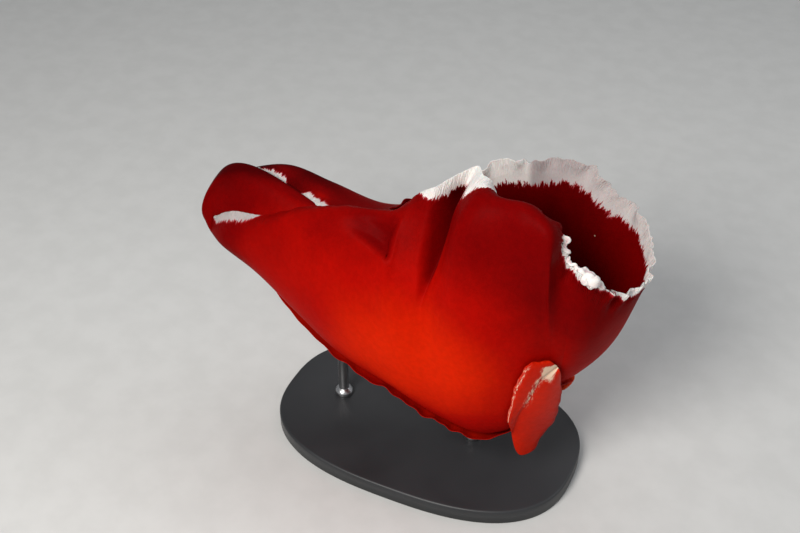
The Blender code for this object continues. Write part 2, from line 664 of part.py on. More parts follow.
def make_gills(places, near, far):
    """Six branched plumes in a ring round the vent, on the back of the body."""
    tree = tree_of("body")
    orange = material("orange", ORANGE, 0.4)
    centre = keel(np.array([GILL_S]))[0]
    for number in range(6):
        turn = math.pi * (number + 0.5) / 3
        away = np.array([math.cos(turn), math.sin(turn), 0.0])
        hit = tree.ray_cast(Vector(centre[:3] + GILL_RING * away + 40 * UP), Vector(-UP))[0]
        foot = np.array(hit)
        height = GILL_HEIGHT * (1 + 0.08 * math.sin(2.3 * number))
        up = np.linspace(0, 1, 6)[:, None]
        stem = foot + UP * height * up + away * (1.0 + 5.5 * up ** 2)
        stem[:, 2] += max(standing_ring(tree, stem[0], UP, 1.5, 12)) + SEAT
        gill = tube("gill_%d" % (number + 1), stem, 1.5 - 1.15 * up[:, 0], 6, orange)
        across = np.cross(away, UP)
        pinnae = []
        for k in range(PINNAE):
            where = 0.2 + 0.68 * k / (PINNAE - 1)
            root = np.array([np.interp(where, up[:, 0], stem[:, a]) for a in range(3)])
            reach = 6.2 * math.sin(math.pi * (0.25 + 0.6 * k / (PINNAE - 1))) + 1.0
            way = across * (0.86 if k % 2 else -0.86) + 0.4 * UP + away * (0.4 if k % 4 < 2 else 0.0)
            tip = root + way * reach + UP * 0.18 * reach
            middle = 0.5 * (root + tip) - UP * 0.12 * reach
            pinnae.append(tube("pinna", [root, middle, tip], (0.62, 0.52, 0.26), 4, orange))
        combined(gill, pinnae, "UNION")


def make_leaf(name, tree, root, tip, face, width, lobes, mat):
    """Flat fleshy flap from its root to its tip, with a lobed border; face is the way it looks."""
    root, tip, face = (np.array(v, float) for v in (root, tip, face))
    way = tip - root
    across = np.cross(way, face)
    across /= np.linalg.norm(across)
    out = np.cross(across, way)
    out /= np.linalg.norm(out)
    lower, upper = [], []
    for t in np.linspace(0, 1, 9):
        half = 0.5 * width * (0.45 + 0.62 * math.sin(math.pi * (0.12 + 0.74 * t))) * (1 - 0.45 * t ** 6)
        half *= 1 + 0.10 * math.sin(2 * math.pi * lobes * t)
        row_low, row_up = [], []
        for w in np.linspace(-1, 1, 7):
            point = root + way * t + across * half * w + out * (1.2 * (1 - w * w) * t)
            thickness = 0.8 + 1.2 * (1 - abs(w)) * (1 - 0.5 * t)
            under = seat(tree, point - out * thickness / 2)
            row_low.append(under)
            row_up.append(under + out * thickness)
        lower.append(row_low)
        upper.append(row_up)
    strip_solid(name, [(np.array(lower), np.array(upper), None)], mat)


def on_face(up, aside, height):
    """Point of the outer skin near the middle of the face, raised over it, and its normal."""
    middle = np.array([np.interp(MIDDLE, SIDE.heading, SIDE.knots)])
    length = surface(SIDE, middle, np.zeros((1, 1)))[1][0]
    u = middle + aside * length / up
    f = np.array([[up / surface(SIDE, u, np.zeros((1, 1)))[1][0]]])
    n = normals(SIDE, u, f)[0, 0]
    return both_faces(SIDE, u, f)[0][0, 0] + n * height, n


def make_mouth_parts():
    """Mouth with its ring of lips on the front of the head, and an oral tentacle on either side."""
    red = material("red", RED, 0.45)
    tree = tree_of("head", "mantle_front")
    near, way, _, _ = tree.find_nearest(Vector(on_face(MOUTH_AT, 0.0, 0.0)[0]))
    standing_solid("mouth", tree, np.array(near), np.array(way), MOUTH_PROFILE, 16, red, MOUTH_SQUASH)
    tree = tree_of("head", "mantle_front", "mantle_right_front", "mantle_left_front", "foot_front", "foot")
    for name, width, root_at, tip_at in TENTACLES:
        root, n = on_face(*root_at)
        tip, _ = on_face(*tip_at)
        make_leaf("oral_tentacle_" + name, tree, root, tip, n, width, 3, red)


def make_stand():
    """Flat rounded base and two rods that reach up to the sole."""
    tree = tree_of("foot")
    dark, steel = material("dark", DARK, 0.4), material("steel", STEEL, 0.3, 1.0)
    outline = []
    for k in range(BASE_SIDES):
        turn = 2 * math.pi * k / BASE_SIDES
        c, s = math.cos(turn), math.sin(turn)
        power = 2 / BASE_SQUARENESS
        outline.append((math.copysign(abs(c) ** power, c), math.copysign(abs(s) ** power, s)))
    levels = [(0.0, 0.0), (0.0, BASE_HEIGHT - BASE_BEVEL), (BASE_BEVEL, BASE_HEIGHT)]
    points, faces = [], []
    for inset, z in levels:
        for x, y in outline:
            points.append((x * (BASE_LENGTH / 2 - inset), y * (BASE_WIDTH / 2 - inset), z - LIFT))
    n = BASE_SIDES
    for i in range(len(levels) - 1):
        for k in range(n):
            a, b = i * n + k, i * n + (k + 1) % n
            faces.append([a, b, b + n, a + n])
    faces.append(list(range(n))[::-1])
    faces.append([len(points) - n + k for k in range(n)])
    closed("stand_base", points, faces, dark)
    for number, x in enumerate(ROD_PLACES):
        foot = np.array([x, 0.0, BASE_HEIGHT + GAP - LIFT])
        rings = []
        for radius, z in FERRULE + [(ROD_RADIUS, FERRULE[-1][1])]:
            rings.append([(radius, foot[2] + z)] * ROD_SIDES)
        top = []
        for k in range(ROD_SIDES):
            turn = 2 * math.pi * k / ROD_SIDES
            start = foot + ROD_RADIUS * np.array([math.cos(turn), math.sin(turn), 0.0])
            top.append((ROD_RADIUS, tree.ray_cast(Vector(start), Vector(UP))[0][2] - SEAT))
        rings.append(top)
        points, faces = [], []
        for ring in rings:
            for k, (radius, z) in enumerate(ring):
                turn = 2 * math.pi * k / ROD_SIDES
                points.append((x + radius * math.cos(turn), radius * math.sin(turn), z))
        m = ROD_SIDES
        for i in range(len(rings) - 1):
            for k in range(m):
                a, b = i * m + k, i * m + (k + 1) % m
                faces.append([a, b, b + m, a + m])
        faces.append(list(range(m))[::-1])
        middle = tree.ray_cast(Vector(foot), Vector(UP))[0][2] - SEAT
        points.append((x, 0.0, middle))
        for k in range(m):
            faces.append([len(points) - 1, len(points) - 1 - m + k, len(points) - 1 - m + (k + 1) % m])
        closed("stand_rod_%d" % (number + 1), points, faces, steel)


def make_foot_front():
    tree = tree_of("head", "body", "foot", "mantle_right_front", "mantle_front")
    t = np.linspace(0, 1, 13)
    knots = np.linspace(0, 1, len(FOOT_OUTER))
    outer, groove, inner = (hermite(knots, side, t) for side in (FOOT_OUTER, FOOT_GROOVE, FOOT_INNER))
    lower, upper = [], []
    for half, (a, b, crown) in enumerate(((outer, groove, 2.4), (groove, inner, 2.8))):
        for w in np.linspace(0, 1, 6)[half:]:
            row = a + (b - a) * w + FOOT_OUT * crown * math.sin(math.pi * w)
            rooted = half == 0 and w == 1
            thickness = 0.9 + 1.3 * (1 - abs(w - (1 - half)))
            under = np.array([seat(tree, q - FOOT_OUT * thickness, exact=rooted and 0.1 < k < 0.8)
                              for q, k in zip(row, t)])
            lower.append(under)
            upper.append(under + FOOT_OUT * thickness)
    strip_solid("foot_front", [(np.array(lower), np.array(upper), None)], material("deep red", DEEP_RED, 0.45))


def build():
    clear_scene()
    s, near, front, far, tail = columns()
    make_body(s, near, front, far, tail)
    make_mantle(near, front, far, tail)
    make_foot(s, near, far)
    make_foot_front()
    make_mouth_parts()
    make_rhinophores(s, near, far)
    make_gills(s, near, far)
    make_stand()


build()
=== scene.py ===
"""Looks of a swimming spanish dancer nudibranch on its display stand.

The skin is one fine folded sheet built on the same ribs as the solids: u runs in mm along
the rim of the mantle, f along a rib from the keel (0) to the free edge (1). Lengths are in
mm about the animal's own origin until to_mesh puts them into the frame in metres.
"""
import math

import bpy
import numpy as np
from mathutils import Matrix, Vector
from mathutils.bvhtree import BVHTree


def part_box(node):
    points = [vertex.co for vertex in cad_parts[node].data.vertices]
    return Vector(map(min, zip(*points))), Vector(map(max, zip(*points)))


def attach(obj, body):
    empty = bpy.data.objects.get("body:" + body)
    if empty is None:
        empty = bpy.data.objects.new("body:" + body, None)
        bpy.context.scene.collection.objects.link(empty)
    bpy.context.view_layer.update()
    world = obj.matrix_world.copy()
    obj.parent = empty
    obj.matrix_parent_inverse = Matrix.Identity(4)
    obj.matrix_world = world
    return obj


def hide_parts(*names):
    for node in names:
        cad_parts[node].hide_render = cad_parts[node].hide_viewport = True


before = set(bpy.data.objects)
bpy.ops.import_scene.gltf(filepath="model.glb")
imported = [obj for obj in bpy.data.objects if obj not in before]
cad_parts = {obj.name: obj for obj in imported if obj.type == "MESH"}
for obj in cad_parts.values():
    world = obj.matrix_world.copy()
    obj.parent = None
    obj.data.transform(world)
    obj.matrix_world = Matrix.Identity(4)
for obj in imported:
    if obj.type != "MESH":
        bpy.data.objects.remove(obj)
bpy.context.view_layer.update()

MM = 0.001
LIFT = 85.0             # height of the animal's own origin above the floor
RISE = 5.0
UP = np.array([0.0, 0.0, 1.0])

# keel of the belly from tail to head: x, y, z, half width of the belly, depth of the trunk,
# reach of the trunk along a rib
KEEL = [
    (-98, 0, -2, 8, 3, 9), (-78, -1, -10, 10, 7, 14), (-58, -2, -23, 12, 14, 22),
    (-34, -3, -35, 16, 22, 30), (-6, -3, -42, 19, 27, 36), (20, -3, -51, 19, 27, 38),
    (40, -2, -55, 16, 19, 34), (54, -1, -46, 11, 14, 28), (60, 0, -30, 4, 9, 22),
]
# ribs: name, place along the keel, heading in degrees, bulge, crest, free edge
SIDE_RIBS = [
    ("near notch", 0.00, 226, 4, (-107, -8, 18.5), (-106.3, -9, 19.5)),
    ("near 1", 0.04, 240, 6, (-94.5, -15, 23.5), (-93.5, -12, 28.8)),
    ("near 2", 0.12, 252, 8, (-79, -16, 30), (-77.5, -13, 32)),
    ("near 3", 0.26, 262, 12, (-57, -15, 42), (-56, -11, 41.5)),
    ("near 4", 0.40, 268, 16, (-35, -14, 50), (-35, -10, 47.5)),
    ("near 5", 0.52, 270, 19, (-13, -14, 54), (-13, -8, 51)),
    ("shoulder", 0.60, 270, 20, (-1, -16, 61), (0, -12, 66)),
    ("peak", 0.67, 270, 18, (14, -19, 64), (15, -14, 75.6)),
    ("bulge 1", 0.73, 270, 20, (29, -19, 80), (30.2, -8.2, 77.6)),
    ("flap end", 0.755, 270, 19.5, (36, -21, 80), (34, -9, 69)),
    ("bulge 2", 0.84, 270, 16, (52.5, -23, 80.5), (53.5, -17, 75)),
    ("bulge 3", 0.92, 275, 10, (62.5, -28.2, 75.5), (63.5, -21.5, 70)),
    ("near corner", 0.97, 283, 8.5, (65.6, -28.2, 58), (66.3, -23.5, 61.5)),
    ("near rim", 1.00, 292, 6.5, (72.2, -29.6, 46), (74, -27, 60)),
    ("front rim", 1.00, 335, 4.5, (84, -19, 32), (87, -12, 43)),
    ("front", 1.00, 368, 5.5, (91, 6, 30), (94, 8, 43)),
    ("far front", 1.00, 405, 7, (79.5, 28, 40), (81.2, 31, 54.2)),
    ("far side", 0.96, 422, 10, (61, 38, 42), (67.8, 40, 54.4)),
    ("far 1", 0.92, 440, 14, (53, 42.5, 45), (57, 44.8, 59.6)),
    ("far 2", 0.77, 450, 19, (29, 46.5, 41), (27, 46, 57)),
    ("far dome", 0.72, 450, 18.3, (20, 46, 38.5), (18.5, 44, 55.4)),
    ("far 3", 0.58, 450, 16, (-4, 41, 27), (-9, 30, 40)),
    ("far 4", 0.38, 450, 12, (-34, 25, 26.5), (-36, -4, 38)),
    ("far 5", 0.20, 455, 9, (-58, 19.5, 35.5), (-59.5, -0.5, 36.5)),
    ("far 6", 0.08, 482, 7, (-80, 16, 41), (-79, 4.5, 39.5)),
    ("far notch", 0.00, 500, 6, (-98, 13, 36), (-92, 11, 38.5)),
]
TAIL_RIBS = [
    ("far notch", 0.00, 140, 6, (-98, 13, 36), (-92, 11, 38.5)),
    ("tail far", 0.00, 157, 8, (-104, 9, 36.4), (-66, 4, 34.5)),
    ("tail tip far", 0.00, 174, 9, (-108.5, 4.5, 37.2), (-48, -2.5, 34)),
    ("tail tip near", 0.00, 190, 8.5, (-109.2, 0, 35.3), (-48, -7, 34.5)),
    ("tail near", 0.00, 208, 7, (-108.3, -4, 27.5), (-84, -13, 26)),
    SIDE_RIBS[0],
]
THICKNESS = [(0, 0.45), (3, 1.0), (8, 1.6), (20, 2.2), (50, 3.4), (90, 5.0), (140, 6.5)]
SIDE_DEPTH, TAIL_DEPTH = 140.0, 9.0
# valley of the right side: share of the rib, its right border past the peak, width, depth and
# the share of its width where its right wall rises
VALLEY = [(0.60, -2.5, 4, 0, 0.24), (0.66, -2, 5, 1.5, 0.24), (0.71, -0.5, 7, 6, 0.24),
          (0.775, 3, 12, 11.5, 0.24), (0.85, 5.5, 15, 15, 0.24), (0.94, 6.5, 16.5, 16, 0.24),
          (1.0, 13, 23, 15, 0.42)]
WALL_OVERLAP = 0.14     # share of the valley's width where its two walls meet
CAP_START, CAP_ROUNDING = 0.9, 0.2      # share of the rib where the valley's far end gets rounder
LIP_SHARE, LIP_BACK, LIP_WIDTH = 0.1375, 5.0, 5.0   # rise of the bulge over the valley's depth
VALLEY_PAINTED_SHADE, SHADE_DEPTH = 0.65, 10.0  # painted shade in the valley: how much darker its red is painted, in full from this depth on
# dent under the seam: rib, mm past it, share of the rib where its lower border runs
HOLLOW_BORDER = [("near 4", 0, 0.86), ("near 5", 0, 0.79), ("near 5", 12, 0.785)]
HOLLOW_STEP, HOLLOW_FADE = (-0.008, 0.028), (0.06, 0.955)
HOLLOW_START, HOLLOW_END = 2.0, (8.0, 13.0)
# depth of the dent in mm, and how much painted shade darkens the red in it
HOLLOW, HOLLOW_PAINTED_SHADE = 5.5, 0.45

# waves of the margin: height, length in mm along the rim, phase
RIPPLES = [(0.55, 13.3, 0.7), (0.45, 8.9, 2.1), (0.35, 21.7, 4.0)]
PLEATS = [(1.0, 4.3, 0.3), (0.5, 2.6, 1.1)]
WIDE_PLEATS = [(1.0, 9.7, 2.2), (0.6, 15.1, 0.0)]
OPEN_RUFFLE, CLOSED_RUFFLE, RUFFLE_REACH = 1.5, 0.25, 5.5
PLEAT_REACH, WIDE_REACH = 2.6, 5.0
CRUMPLE_START, CRUMPLE_END = (-2.0, 3.0), (8.0, 18.0)
LOBE_LENGTH, SCALLOP_LENGTH = 12.3, 3.3
NOTCH_PAST, NOTCH_DEPTH, NOTCH_WIDTH = 0.6, 3.0, 1.7    # narrow notch just past the rib far 2

# crumpled roll of the near rim: rib, mm past it, radius
ROLL = [("bulge 3", -0.8, 0.3), ("bulge 3", 2, 1.0), ("bulge 3", 5, 0.8), ("near corner", -2, 1.2),
        ("near corner", 2, 0.8), ("near rim", -4, 0.8), ("near rim", -1, 1.3), ("near rim", 3.5, 2.5),
        ("near rim", 7, 2.1), ("near rim", 10.5, 0.9), ("near rim", 13, 0.25)]
ROLL_SWAY = [(1.0, 6.3, 0.6), (0.4, 2.9, 1.0)]
ROLL_HOP = [(1.0, 4.6, 2.0), (0.5, 2.2, 0.0)]
# its lumps: height, how many round the roll, turn in radians per mm, phase
ROLL_LUMPS = [(0.13, 2, 0.9, 0.0), (0.09, 3, -1.7, 0.0), (0.06, 5, 2.9, 1.0)]
ROLL_STEPS, ROLL_SIDES = 420, 28

RIB_STEPS = 40
FRILL = 14.0            # width of the finely divided strip along the free edge
WALL_STEPS, FRILL_STEPS, FRILL_POWER = 120, 46, 1.25
SIDE_STEPS, FRONT_STEPS, TAIL_STEPS = 420, 230, 90
EVEN_SHARE = 0.65       # of even steps along the keel; the rest crowd towards its ends
TRUNK_FADE = (0.15, 1.2)    # shares of the trunk where its depth gives way to the thin mantle

FOOT_RUN = (0.10, 0.90)
FOOT_REACH = 0.72       # share of the trunk that the border of the foot covers
# across the foot: share of the trunk, gap to the trunk, thickness
FOOT_ROWS = [(0, 0.4, 4.5), (0.17, 0.4, 4.2), (0.36, 0.4, 3.0), (0.54, 1.0, 1.3), (0.72, 2.3, 0.8)]
SOLE_STEPS, SOLE_ROWS = 300, 26
# lobes of the foot's front end, from their top down: free border of the near lobe, groove
# between the lobes, free border of the far lobe
FOOT_OUTER = [(64.5, -26.7, 10.9), (57.2, -32.4, 9.5), (53.4, -33.3, -2.5), (51.2, -32, -17.4),
              (49.7, -32.4, -45)]
FOOT_GROOVE = [(67.3, -23.2, 5.7), (61.1, -27.4, -2.2), (57.4, -28.3, -13.5), (53.3, -28, -26.4),
               (49.5, -23.9, -49.6)]
FOOT_INNER = [(68.7, -20.1, -2), (68.1, -13.4, -20), (66.6, -11.7, -35), (61.2, -12.6, -50.1),
              (56.7, -14.3, -65.1)]
FOOT_OUT = np.array([0.33, -0.71, 0.62])
LOBE_STEPS, LOBE_ROWS = 150, 26

RHINOPHORE_HEIGHT, LEAVES, LEAF_WIDTH, LEAF_FOOT = 13.0, 16, 2.45, 3.9
# turned profiles: radius, height
COLLAR = [(3.0, -1.2), (3.25, 0.2), (3.2, 1.5), (3.35, 2.3), (3.1, 2.6), (2.7, 2.2), (2.2, 1.0),
          (2.0, 0.4)]
STALK = [(1.9, 0.0), (1.5, 1.8), (1.45, 3.6)]
LIPS = [(4.2, -1.5), (4.5, 0.1), (4.65, 1.0), (4.4, 1.9), (3.8, 2.5), (3.0, 2.7), (2.2, 2.3), (1.5, 1.5),
        (1.0, 0.7), (0.6, 0.3)]
FERRULE = [(4.2, 0), (4.5, 0.25), (4.5, 2.3), (4.3, 2.7), (3.5, 3.6), (3.0, 4.0)]
FLAP_SIZE, FLAP_LIFT = 0.75, 0.9        # size against the solids, height over the skin
GILL_S, GILL_HEIGHT, GILL_RING, GILL_ROOT = 0.42, 20.0, 9.0, 1.2
GILLS, PINNAE, PINNULES = 6, 22, 9
BASE_LENGTH, BASE_WIDTH, BASE_HEIGHT, BASE_BEVEL = 150.0, 95.0, 8.0, 1.2
BASE_SQUARENESS, BASE_SIDES = 2.6, 240
ROD_PLACES, ROD_RADIUS, ROD_SINK = (24.0, -46.0), 2.5, 3.5

# white of the margin on the outer and the inner face: rib, mm past it along the rim, width
OUTER_WHITE = [
    ("near notch", 0, 2.5), ("near notch", 4, 4.4), ("near 1", 0, 5), ("near 1", 8, 4.6),
    ("near 2", -3, 2.5), ("near 2", 2, -1), ("shoulder", -2, -1), ("shoulder", 4, 3.5), ("peak", -5, 7),
    ("peak", 5, 8), ("bulge 1", -5, 7), ("bulge 1", 0, 9), ("bulge 1", 4, 7), ("flap end", 1, -1),
    ("bulge 3", -2, -1), ("bulge 3", 1, 2.2), ("near corner", 0, 2.6), ("near rim", 0, 2.8),
    ("near rim", 9, 2.8), ("near rim", 13, 0.9), ("front rim", -2, 0.8), ("front rim", 2, 2.8),
    ("front rim", 10, 4.0), ("front", 0, 4.6), ("front", 12, 6), ("far front", 0, 9), ("far 2", 0, 10),
    ("far 3", 0, 9), ("far 3", 8, 4), ("far 3", 12, -1), ("far 5", -13, -1), ("far 5", -9, 3),
    ("far 5", 3, 4.6), ("far 5", 8, -1), ("far 6", -8, -1), ("far 6", -4, 3.6), ("far 6", 6, 4),
    ("far notch", -4, 2.4), ("far notch", 0, 1.5),
]
INNER_WHITE = [
    ("near notch", 0, 5), ("shoulder", -4, 4), ("peak", 0, 9), ("bulge 1", 0, 9), ("flap end", 5, 3),
    ("bulge 3", 0, 3), ("near rim", 0, 4.5), ("front rim", 0, 3.4), ("front", 0, 5), ("front", 12, 7),
    ("far front", 0, 8.5), ("far side", 0, 9.5), ("far 1", 0, 10.5), ("far 2", 0, 13.5), ("far 2", 20, 13),
    ("far 3", 0, 10), ("far 3", 8, 4), ("far 3", 12, -1), ("far 5", 0, -1), ("far 6", 0, 3),
    ("far notch", 0, 3),
]
TAIL_WHITE = [("far notch", 0, 1.0), ("far notch", 2, -1), ("near notch", -3, -1), ("near notch", 0, 2.5)]
TAIL_INNER_WHITE = 4.5
# tone of that white on either face, its grey-pink end in part painted shade where less light falls: rib, mm
# past it, 0 grey-pink to 1 white
OUTER_TONE = [("near notch", 0, 0.45), ("near 2", 8, 0.45), ("near 3", 0, 1.0), ("far 3", 0, 1.0),
              ("far 4", 0, 0.7), ("far notch", 0, 0.7)]
INNER_TONE = [("near notch", 0, 1.0), ("front", 0, 0.75), ("far front", 0, 0.62), ("far 1", 0, 0.52),
              ("far 2", -1, 0.38), ("far 2", 2, 0.95), ("far 2", 12, 1.0), ("far 3", 0, 0.85),
              ("far notch", 0, 0.8)]


def cubic(t, start, end, leave, arrive):
    """Smooth way from start to end that sets out along leave and comes in along arrive."""
    rise = t * t * (3 - 2 * t)
    return ((1 - rise) * start + rise * end
            + (t ** 3 - 2 * t ** 2 + t) * leave + (t ** 3 - t ** 2) * arrive)


def hermite(knots, values, x):
    """Smooth cubic through values at rising knots."""
    knots = np.asarray(knots, float)
    values = np.asarray(values, float)
    x = np.asarray(x, float)
    tail = (1,) * (values.ndim - 1)
    step = np.diff(knots)
    wide = step.reshape((-1,) + tail)
    slope = np.diff(values, axis=0) / wide
    tangent = np.zeros_like(values)
    tangent[1:-1] = (slope[:-1] * wide[1:] + slope[1:] * wide[:-1]) / (wide[1:] + wide[:-1])
    tangent[0] = 1.5 * slope[0] - 0.5 * tangent[1]
    tangent[-1] = 1.5 * slope[-1] - 0.5 * tangent[-2]
    i = np.clip(np.searchsorted(knots, x, side="right") - 1, 0, len(step) - 1)
    h = step[i].reshape((-1,) + tail)
    t = (x - knots[i]).reshape((-1,) + tail) / h
    return cubic(t, values[i], values[i + 1], h * tangent[i], h * tangent[i + 1])


def smooth(x, low, high):
    x = np.clip((x - low) / (high - low), 0.0, 1.0)
    return x * x * (3 - 2 * x)


def unit(way):
    return way / (np.linalg.norm(way, axis=-1, keepdims=True) + 1e-12)


class Lobe:
    """A stretch of the mantle between two notches; u runs along its rim in mm."""

    def __init__(self, ribs):
        self.names = [rib[0] for rib in ribs]
        self.place, self.heading, self.bulge = np.array([rib[1:4] for rib in ribs], float).T
        self.crest = np.array([rib[4] for rib in ribs], float)
        self.edge = np.array([rib[5] for rib in ribs], float)
        step = np.linalg.norm(np.diff(0.5 * (self.crest + self.edge), axis=0), axis=1)
        self.knots = np.concatenate([[0], np.cumsum(step)])
        self.end = self.knots[-1]

    def at(self, name):
        return self.knots[self.names.index(name)]

    def rib(self, u):
        values = [hermite(self.knots, v, u) for v in (self.heading, self.bulge, self.crest, self.edge)]
        return [np.interp(u, self.knots, self.place)] + values


SIDE = Lobe(SIDE_RIBS)
TAIL = Lobe(TAIL_RIBS)


def keel(s):
    table = np.array(KEEL, float)
    run = np.concatenate([[0], np.cumsum(np.linalg.norm(np.diff(table[:, :3], axis=0), axis=1))])
    return hermite(run / run[-1], table, s)


def keel_up(s):
    step = 0.004
    run = keel(np.clip(s + step, 0, 1))[:, :3] - keel(np.clip(s - step, 0, 1))[:, :3]
    return unit(np.stack([-run[:, 2], 0 * s, run[:, 0]], -1))


def facing(normal, share, place):
    """Unit normals that turn straight down at the keel, where the share of the trunk is 0."""
    side = smooth(share, 0.0, 1.0)[:, :, None]
    return unit(unit(normal) * side - keel_up(place)[:, None, :] * (1 - side))


def waves(u, table):
    """Sum of sine waves; the table's rows are height, length, phase."""
    return sum(height * np.sin(2 * math.pi * u / length + phase) for height, length, phase in table)


def bell(x, width):
    return np.exp(-(x / width) ** 2)


def band(lobe, table, u):
    """Value at u from a table of ribs, distances past them and values."""
    where = [lobe.at(name) + shift for name, shift, value in table]
    return np.interp(u, where, [value for name, shift, value in table])


def folds(lobe, u, f):
    """Outward push of the deep valley of the right side and its share from 0 to 1, which also sets the
    valley's painted shade.
    """
    if lobe is not SIDE:
        return 0 * f, 0 * f
    table = np.array(VALLEY)
    shape = hermite(table[:, 0], table[:, 1:], np.clip(f, table[0, 0], 1).ravel()).reshape(f.shape + (4,))
    right, wide, depth, rise = np.moveaxis(shape, -1, 0)
    right = right + lobe.at("peak")
    across = (right - u) / wide
    valley = smooth(across, 0, rise) * (1 - smooth(across, rise - WALL_OVERLAP, 1.0))
    valley = valley - CAP_ROUNDING * smooth(f, CAP_START, 1.0) * valley ** 3
    lip = bell(u - right - LIP_BACK, LIP_WIDTH)
    depth = np.maximum(depth, 0)
    return depth * (LIP_SHARE * lip - valley), smooth(depth, 0, SHADE_DEPTH) * valley


def hollow(lobe, u, f):
    """Share of the wedge-shaped dent under the seam of the right side, which also sets its painted shade;
    its lower border is crisp.
    """
    if lobe is not SIDE:
        return 0 * f
    border = band(lobe, HOLLOW_BORDER, u)
    low, high = HOLLOW_STEP
    fade, top = HOLLOW_FADE
    inside = smooth(f, border + low, border + high) * (1 - smooth(f, border + fade, top))
    left, right = lobe.at("near 4"), lobe.at("near 5")
    start = smooth(u, left + HOLLOW_START, right + HOLLOW_START)
    return inside * start * (1 - smooth(u, right + HOLLOW_END[0], right + HOLLOW_END[1]))


def freedom(lobe, u):
    """0 where the margin lies tucked against another fold, 1 on the open funnel."""
    if lobe is not SIDE:
        return 0 * u
    free = smooth(u, lobe.at("bulge 1"), lobe.at("near rim"))
    return free * (1 - smooth(u, lobe.at("far 3"), lobe.at("far 4")))


def ripple(lobe, u, distance):
    """Ruffles of the margin that the solids share."""
    height = CLOSED_RUFFLE + OPEN_RUFFLE * freedom(lobe, u)
    return height * waves(u, RIPPLES) * bell(distance, RUFFLE_REACH)


def frill(lobe, u, distance):
    """Finer pleats near the free edge, uneven along the rim and strongest on its near side."""
    free = freedom(lobe, u)
    near = free * (1 - smooth(u, SIDE.at("front"), SIDE.at("far front")))
    corner, rim = SIDE.at("bulge 3"), SIDE.at("near rim")
    crumple = smooth(u, corner + CRUMPLE_START[0], corner + CRUMPLE_START[1])
    crumple = crumple * (1 - smooth(u, rim + CRUMPLE_END[0], rim + CRUMPLE_END[1]))
    strayed = u + 0.9 * np.sin(u / 3.1) + 1.4 * np.sin(u / 7.7 + 1.0)
    uneven = 0.65 + 0.35 * np.sin(u / 9.0 + 0.4) * np.sin(u / 5.3 + 2.0)
    fine = (0.10 + 0.24 * free + 0.25 * near + 0.4 * crumple) * uneven
    wide = 0.22 * free + 0.45 * near
    return (fine * waves(strayed, PLEATS) * bell(distance, PLEAT_REACH)
            + wide * waves(strayed, WIDE_PLEATS) * bell(distance, WIDE_REACH))


def scallop(lobe, u):
    """How far the free edge is cut back, so that its outline has round lobes with narrow notches."""
    free = freedom(lobe, u)
    round_lobe = np.abs(np.sin(math.pi * (u / LOBE_LENGTH + 0.9 * np.sin(u / 10.1 + 0.5))))
    small = np.abs(np.sin(math.pi * (u / SCALLOP_LENGTH + 0.4 * np.sin(u / 4.0))))
    cut = (0.4 + 1.5 * free) * (1 - round_lobe ** 0.35) + (0.15 + 0.3 * free) * (1 - small ** 0.5)
    if lobe is SIDE:
        cut = cut + NOTCH_DEPTH * bell(u - lobe.at("far 2") - NOTCH_PAST, NOTCH_WIDTH)
    return cut


def rib_curve(knots):
    """Smooth curves through knots (n, 5, 3), paced by the lengths of their chords."""
    chord = np.diff(knots, axis=1)
    h = np.linalg.norm(chord, axis=2, keepdims=True)
    slope = chord / h
    inner = (slope[:, :-1] * h[:, 1:] + slope[:, 1:] * h[:, :-1]) / (h[:, 1:] + h[:, :-1])
    first = 1.5 * slope[:, :1] - 0.5 * inner[:, :1]
    last = 1.5 * slope[:, -1:] - 0.5 * inner[:, -1:]
    tangent = np.concatenate([first, inner, last], axis=1)
    t = np.linspace(0, 1, RIB_STEPS + 1)[:-1, None]
    pieces = [cubic(t, knots[:, k, None], knots[:, k + 1, None], h[:, k, None] * tangent[:, k, None],
                    h[:, k, None] * tangent[:, k + 1, None]) for k in range(knots.shape[1] - 1)]
    return np.concatenate(pieces + [knots[:, -1:]], axis=1)


def rib_lengths(lobe, u):
    return surface(lobe, u, np.zeros((len(u), 1)))[1]


def surface(lobe, u, f):
    """Outer surface: u (n,), f (n, m) give points (n, m, 3), rib lengths (n,)."""
    s, heading, bulge, crest, edge = lobe.rib(u)
    heading = np.radians(heading)
    out = np.stack([np.cos(heading), np.sin(heading), 0 * heading], -1)
    base = keel(s)
    root = base[:, :3]
    flank = root + out * base[:, 3:4] + RISE * UP
    middle = 0.5 * (flank + crest) + out * bulge[:, None]
    fine = rib_curve(np.stack([root, flank, middle, crest, edge], 1))
    run = np.cumsum(np.linalg.norm(np.diff(fine, axis=1), axis=2), axis=1)
    run = np.concatenate([np.zeros((len(u), 1)), run], axis=1)
    length = run[:, -1]
    points = np.empty(f.shape + (3,))
    for i in range(len(u)):
        for axis in range(3):
            points[i, :, axis] = np.interp(f[i] * length[i], run[i], fine[i, :, axis])
    push, _ = folds(lobe, u[:, None], f)
    points += out[:, None, :] * push[:, :, None]
    return points, length


def two_sides(s):
    """u on the near and on the far side at places along the keel."""
    turn = SIDE.names.index("near rim") + 1
    back = SIDE.names.index("far front")
    return (np.interp(s, SIDE.place[:turn], SIDE.knots[:turn]),
            np.interp(s, SIDE.place[back:][::-1], SIDE.knots[back:][::-1]))


def sides():
    """Keel places of the fine ribs and their u along the near side, the front and the far side."""
    x = np.linspace(0, 1, SIDE_STEPS + 1)
    s = EVEN_SHARE * x + (1 - EVEN_SHARE) * (0.5 - 0.5 * np.cos(math.pi * x))
    near, far = two_sides(s)
    front = np.linspace(SIDE.at("near rim"), SIDE.at("far front"), FRONT_STEPS + 1)[1:-1]
    return s, near, front, far


def rows(lobe, u):
    """Distances from the free edge of the rows of each rib, from the keel outward."""
    length = rib_lengths(lobe, u)[:, None]
    wall = length - (length - FRILL) * np.linspace(0, 1, WALL_STEPS + 1)[:-1]
    t = np.linspace(1, 0, FRILL_STEPS + 1)
    cut = scallop(lobe, u)[:, None]
    strip = cut + (FRILL - cut) * t ** FRILL_POWER
    return np.concatenate([wall, strip], axis=1), length


